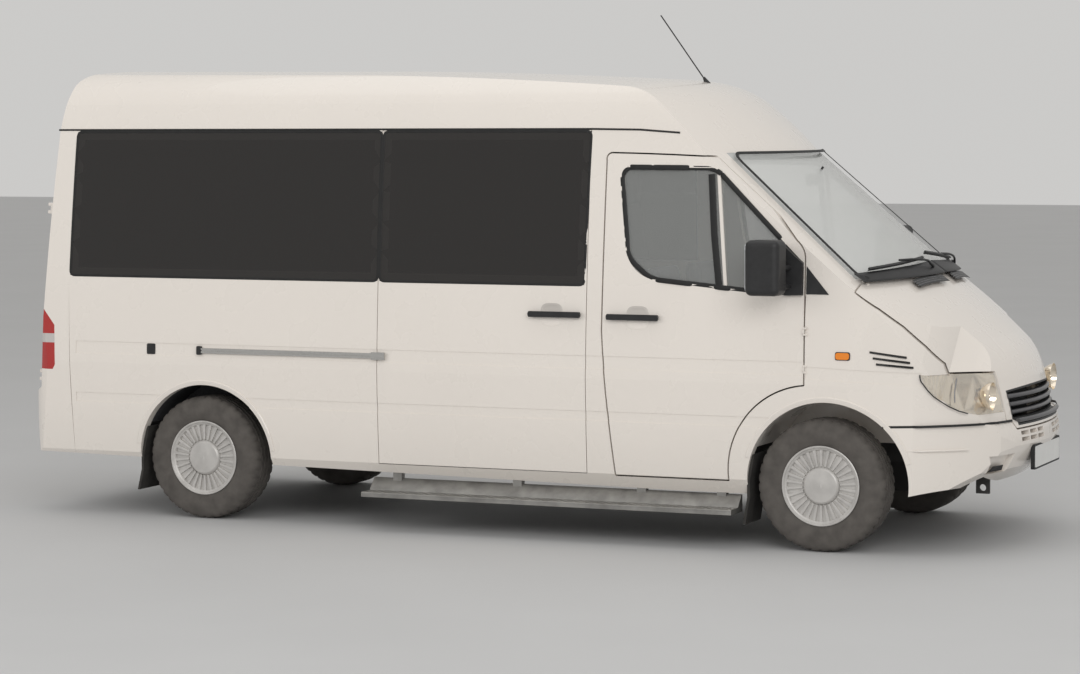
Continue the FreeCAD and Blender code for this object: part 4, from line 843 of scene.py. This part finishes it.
# Headlamps: a bowl with its bulb behind each lens, and the upright line between beam and turn signal
BOWL = [(0.066, 0.074), (0.067, 0.070), (0.050, 0.066), (0.030, 0.056), (0.014, 0.042), (0.004, 0.024),
        (0.0, 0.010)]
BULB = [(0.0, 0.011), (0.026, 0.011), (0.038, 0.009), (0.046, 0.004), (0.047, 0.0005)]
BULB_CAP = [(0.034, 0.0005), (0.034, 0.013), (0.042, 0.013), (0.050, 0.008), (0.052, 0.0005)]
LAMP_DIVIDER = [(2.515, 0.772), (2.504, 0.82), (2.498, 0.885)]
AHEAD = (1, 0, 0)
for name, side in SIDES:
    centre = Vector((2.600, side * 0.640, 0.795))
    bowl = turned("bowl", BOWL, centre, AHEAD, reflector, 48)
    bulb = turned("bulb", BULB, centre, AHEAD, bulb_glass, 20)
    cap = turned("cap", BULB_CAP, centre + Vector((0.006, 0, 0)), AHEAD, reflector, 20)
    mount(joined("headlamp_bowl_" + name, [bowl, bulb, cap]), "body")
    line = laid("lamp_divider_" + name, side_finder(side), LAMP_DIVIDER, 0.006, 0.0008, trim_grey)
    mount(line, "body")

# Rear doors: handle, blank plate with its lamp, high brake lamp and reflectors
plate("rear_plate", on_rear, (0.36, 0.86), 0.52, 0.115, "rear_door_left", 0.012)
lamp_place, _ = on_rear(0.36, 0.955)
bar = slab("bar", lamp_place + Vector((-0.028, -0.16, -0.014)), lamp_place + Vector((0.012, 0.16, 0.016)), plastic)
lens = slab("lens", lamp_place + Vector((-0.024, -0.05, -0.018)), lamp_place + Vector((-0.004, 0.05, -0.012)),
            bulb_glass)
mount(joined("plate_lamp", [bar, lens]), "rear_door_left")
GRIP = [(0.004, 0, -0.09), (-0.026, 0, -0.08), (-0.034, 0, -0.05),
        (-0.034, 0, 0.05), (-0.026, 0, 0.08), (0.004, 0, 0.09)]
CUP = [(-0.145, 0.95), (-0.055, 0.95), (-0.055, 1.17), (-0.145, 1.17)]
grip_place, _ = on_rear(-0.10, 1.06)
grip = tube("grip", [grip_place + Vector(row) for row in GRIP], 0.010, plastic, Vector((0, 1, 0)))
cup = patch("cup", on_rear, rounded(CUP, 0.03), 0.003, plastic)
mount(joined("rear_handle", [grip, cup]), "rear_door_right")
brake = quilt("high_brake_lamp", on_rear, [(-0.17, 2.152), (0.17, 2.152), (0.17, 2.176), (-0.17, 2.176)],
              (12, 2), 0.006, red_lens, 0.012)
mount(brake, "body")
for name, side in SIDES:
    rows = rounded([(side * 0.70, 0.480), (side * 0.84, 0.480), (side * 0.84, 0.520), (side * 0.70, 0.520)], 0.01)
    mount(patch("rear_reflector_" + name, on_rear, rows, 0.005, red_lens), "body")

# Fold along the bumper, from its arch to the front
BUMPER_FOLD = [(2.300, 0.531), (2.45, 0.533), (2.58, 0.536)]
for name, side in SIDES:
    fold = laid("bumper_fold_" + name, side_finder(side), BUMPER_FOLD, 0.006, 0.0015, paint)
    mount(fold, "body")

# Dashboard: instrument hood with its dials, outlets, radio, gear lever; inside mirror
dash_low, dash_high = [Vector(corner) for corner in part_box("dashboard")]
FACE = dash_low.x
HOOD_WIDTH, HOOD_HEIGHT, WHEEL_Y = 0.46, 0.075, 0.40
HOOD_RINGS = [(0.03, 1.0), (0.05, 1.04), (0.22, 0.86), (0.36, 0.3)]
DIAL = [(0, 0.001), (0, 0.052), (-0.008, 0.056), (-0.008, 0.060), (0.004, 0.060)]
turns = [math.pi * k / 12 for k in range(13)]
hood_rows = [(HOOD_WIDTH / 2 * math.cos(a), HOOD_HEIGHT * math.sin(a)) for a in turns]
vertices = [Vector((FACE + reach, WHEEL_Y + y * grow, dash_high.z - 0.012 + z * grow))
            for reach, grow in HOOD_RINGS for y, z in hood_rows]
faces = [(i * 13 + k, i * 13 + k + 1, (i + 1) * 13 + k + 1, (i + 1) * 13 + k) for i in range(3) for k in range(12)]
hood = add_mesh("hood", vertices, faces, dash_plastic)
hood.modifiers.new("thick", "SOLIDIFY").thickness = 0.006
dial_parts = [hood]
for y in (WHEEL_Y - 0.08, WHEEL_Y + 0.08):
    dial_parts.append(turned("dial", DIAL, (FACE + 0.045, y, dash_high.z + 0.012), AHEAD, gloss_black, 32))
mount(joined("instrument_hood", dial_parts), "body")
outlets = []
for y in (0.74, 0.10, -0.10, -0.74):
    outlets.append(slab("frame", (FACE - 0.010, y - 0.062, 1.150), (FACE + 0.02, y + 0.062, 1.225),
                        dash_plastic, 0.006))
    for k in range(4):
        z = 1.163 + 0.014 * k
        outlets.append(slab("blade", (FACE - 0.014, y - 0.052, z), (FACE + 0.01, y + 0.052, z + 0.004),
                            gloss_black, 0.001))
outlets.append(slab("radio", (FACE - 0.008, -0.09, 1.06), (FACE + 0.02, 0.09, 1.115), gloss_black, 0.003))
TURN_KNOB = [(-0.022, 0.001), (-0.022, 0.014), (0, 0.017), (0.01, 0.017)]
for y in (-0.055, 0, 0.055):
    outlets.append(turned("dial", TURN_KNOB, (FACE, y, 1.02), AHEAD, trim_grey, 20))
mount(joined("dash_outlets", outlets), "body")
LEVER_Y = 0.05
LEVER_KNOB = [(0, 0.010), (0.01, 0.018), (0.03, 0.022), (0.045, 0.016), (0.05, 0.001)]
lever_points = [(FACE + 0.01, LEVER_Y, 0.95), (FACE - 0.05, LEVER_Y, 0.99), (FACE - 0.10, LEVER_Y, 1.045)]
lever = tube("lever", lever_points, 0.008, plastic)
knob = turned("knob", LEVER_KNOB, (FACE - 0.095, LEVER_Y, 1.040), (-0.6, 0, 0.8), gloss_black, 20)
mount(joined("gear_lever", [lever, knob]), "body")
screen_top, _ = on_front(0, 1.93)
stem = tube("stem", [screen_top + Vector((-0.012, 0, 0)), screen_top + Vector((-0.05, 0, -0.05))], 0.006, plastic)
shell = slab("shell", screen_top + Vector((-0.075, -0.12, -0.10)), screen_top + Vector((-0.045, 0.12, -0.035)),
             plastic, 0.012)
mount(joined("inside_mirror", [stem, shell]), "body")

# Tyres with tread
TYRE_SIDE = [(0.088, 0.195), (0.095, 0.200), (0.104, 0.216), (0.110, 0.236), (0.1125, 0.261), (0.110, 0.285),
             (0.106, 0.305), (0.1015, 0.318), (0.094, 0.327), (0.086, 0.333)]
TREAD = [(0.076, 0.3355), (0.060, 0.337), (0.058, 0.3295), (0.050, 0.3295), (0.048, 0.337), (0.025, 0.337),
         (0.023, 0.3290), (0.013, 0.3290), (0.011, 0.337)]
TYRE_STEPS = 160
SHOULDER_BLOCK, RIB_BLOCK, GROOVE_LEAN = 0.006, 0.003, 0.14
tread_half = TYRE_SIDE + TREAD
tyre_profile = tread_half + [(-y, r) for y, r in reversed(tread_half)]
for name, axle, side in WHEELS:
    vertices = []
    for step in range(TYRE_STEPS):
        angle = 2 * math.pi * step / TYRE_STEPS
        for y, r in tyre_profile:
            cut = step % 4 == 0 and r > 0.326 and abs(y) > 0.05
            fine = step % 4 == 2 and r > 0.335 and abs(y) < 0.05
            depth = SHOULDER_BLOCK if cut else RIB_BLOCK if fine else 0
            turn = angle + (GROOVE_LEAN * y if r > 0.32 else 0)
            radius = r - depth
            vertices.append((axle + radius * math.cos(turn), side * TRACK + y, HUB + radius * math.sin(turn)))
    rows = len(tyre_profile)
    faces = [(i * rows + k, i * rows + k + 1, ((i + 1) % TYRE_STEPS) * rows + k + 1, ((i + 1) % TYRE_STEPS) * rows + k)
             for i in range(TYRE_STEPS) for k in range(rows - 1)]
    faces += [(i * rows, ((i + 1) % TYRE_STEPS) * rows, ((i + 1) % TYRE_STEPS) * rows + rows - 1, i * rows + rows - 1)
              for i in range(TYRE_STEPS)]
    tyre = add_mesh("tread_tyre_" + name, vertices, faces, tyre_rubber)
    mount(tyre, "wheel_" + name)
    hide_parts("tyre_" + name)

# Padded seats: one cushion and one back are blown up, then copied to every seat
CROWN = 0.024
CLOTH_FRAMES = 20
SEAM_WIDTH, SEAM_DEPTH = 0.014, 0.007


def soft_block(size, crown):
    """Fine mesh of a block with rounded edges, centred on the origin."""
    data = bmesh.new()
    bmesh.ops.create_cube(data, size=1)
    for vertex in data.verts:
        vertex.co = Vector(vertex.co[i] * size[i] for i in range(3))
    piece = placed("block", mesh_from("block", data))
    for kind, settings in (("BEVEL", {"width": crown, "segments": 3}),
                           ("REMESH", {"mode": "VOXEL", "voxel_size": 0.018})):
        modifier = piece.modifiers.new(kind.lower(), kind)
        for key, setting in settings.items():
            setattr(modifier, key, setting)
    return piece


def baked(piece):
    """The piece's mesh with its modifiers applied."""
    graph = bpy.context.evaluated_depsgraph_get()
    mesh = bpy.data.meshes.new_from_object(piece.evaluated_get(graph))
    old = piece.data
    piece.modifiers.clear()
    piece.data = mesh
    bpy.data.meshes.remove(old)
    return mesh


def inflated(size, pressure, cap, seams):
    """Cushion swollen by cloth pressure; seams are (axis, place) of sewn channels across the cover."""
    piece = soft_block(size, CROWN)
    baked(piece)
    rest = [vertex.co.copy() for vertex in piece.data.vertices]
    cloth = piece.modifiers.new("cloth", "CLOTH")
    cloth.settings.use_pressure = True
    cloth.settings.uniform_pressure_force = pressure
    cloth.settings.effector_weights.gravity = 0
    cloth.settings.quality = 4
    cloth.point_cache.frame_start = 1
    cloth.point_cache.frame_end = CLOTH_FRAMES
    for step in range(1, CLOTH_FRAMES + 1):
        bpy.context.scene.frame_set(step)
    baked(piece)
    bpy.context.scene.frame_set(1)
    for vertex, start in zip(piece.data.vertices, rest):
        move = vertex.co - start
        if move.length > cap:
            vertex.co = start + move.normalized() * cap
    piece.modifiers.new("fine", "SUBSURF").levels = 1
    baked(piece)
    for vertex in piece.data.vertices:
        for axis, place in seams:
            gap = abs(vertex.co[axis] - place)
            if gap < SEAM_WIDTH:
                vertex.co -= vertex.normal * SEAM_DEPTH * (1 - gap / SEAM_WIDTH)
    piece.data.materials.clear()
    piece.data.materials.append(fabric)
    piece.data.shade_smooth()
    mesh = piece.data
    bpy.data.objects.remove(piece)
    return mesh


CUSHION = (0.46, 0.40, 0.085)
BACK = (0.055, 0.40, 0.55)
BACK_LEAN = -0.142
PRESSURE, SWELL = 4, 0.012
cushion_mesh = inflated(CUSHION, PRESSURE, SWELL, [(1, -0.12), (1, 0.12), (0, 0.12)])
back_mesh = inflated(BACK, PRESSURE, SWELL, [(1, -0.12), (1, 0.12), (2, 0.10)])
SEAT_FLOOR = 0.55
ROW_PITCH = 0.78
# Seats: node, x and y of the middle, width, height of the base
SEATS = [("cab_seats", 0.975, 0.415, 0.45, 0.19), ("cab_seats", 0.975, -0.175, 0.43, 0.19),
         ("cab_seats", 0.975, -0.605, 0.43, 0.19)]
for row, places in enumerate(((0.645, 0.215), (0.645, 0.215, -0.645), (0.645, 0.215, -0.645),
                              (0.66, 0.22, -0.22, -0.66))):
    SEATS += [("cabin_seats", 0.055 - ROW_PITCH * row, y, 0.42, 0.33) for y in places]
for index, (node, x, y, width, base) in enumerate(SEATS):
    low = SEAT_FLOOR + base
    spread_y = (width - 0.012) / 0.42
    for kind, mesh, place, lean in (("cushion", cushion_mesh, (x + 0.01, y, low + 0.055), 0.0),
                                    ("back", back_mesh, (x - 0.216, y, low + 0.396), BACK_LEAN)):
        piece = placed(f"seat_{kind}_{index:02d}", mesh)
        piece.location = place
        piece.rotation_euler = (0, lean, 0)
        piece.scale = (1, spread_y, 1)
        mount(piece, "body")
        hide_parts(node)

# Studio
floor = add_mesh("studio_floor", [(-60, -60, 0), (60, -60, 0), (60, 60, 0), (-60, 60, 0)], [(0, 1, 2, 3)],
                 mottled(material("floor_pale", (0.55, 0.55, 0.55), 0.7), (0.56, 0.56, 0.56), 0.8, 0.03))
world = bpy.data.worlds.new("studio")
bpy.context.scene.world = world
world.use_nodes = True
sky = world.node_tree.nodes["Background"]
sky.inputs["Color"].default_value = (1.0, 0.99, 0.97, 1)
sky.inputs["Strength"].default_value = 0.60


def area_light(name, location, target, size, power, mirrored=True):
    data = bpy.data.lights.new(name, "AREA")
    data.shape = "RECTANGLE"
    data.size, data.size_y = size
    data.energy = power
    light = bpy.data.objects.new(name, data)
    light.location = location
    light.rotation_mode = "QUATERNION"
    light.rotation_quaternion = (Vector(target) - Vector(location)).to_track_quat("-Z", "Y")
    light.visible_glossy = mirrored
    bpy.context.scene.collection.objects.link(light)


area_light("key", (8, -12, 7), (0, 0, 1.2), (10, 6), 620)
area_light("side", (-9, -12, 5), (0, 0, 1.2), (9, 5), 360, False)
area_light("top", (0, 0, 10), (0, 0, 1), (12, 8), 150)

bpy.context.scene.view_settings.view_transform = "Standard"
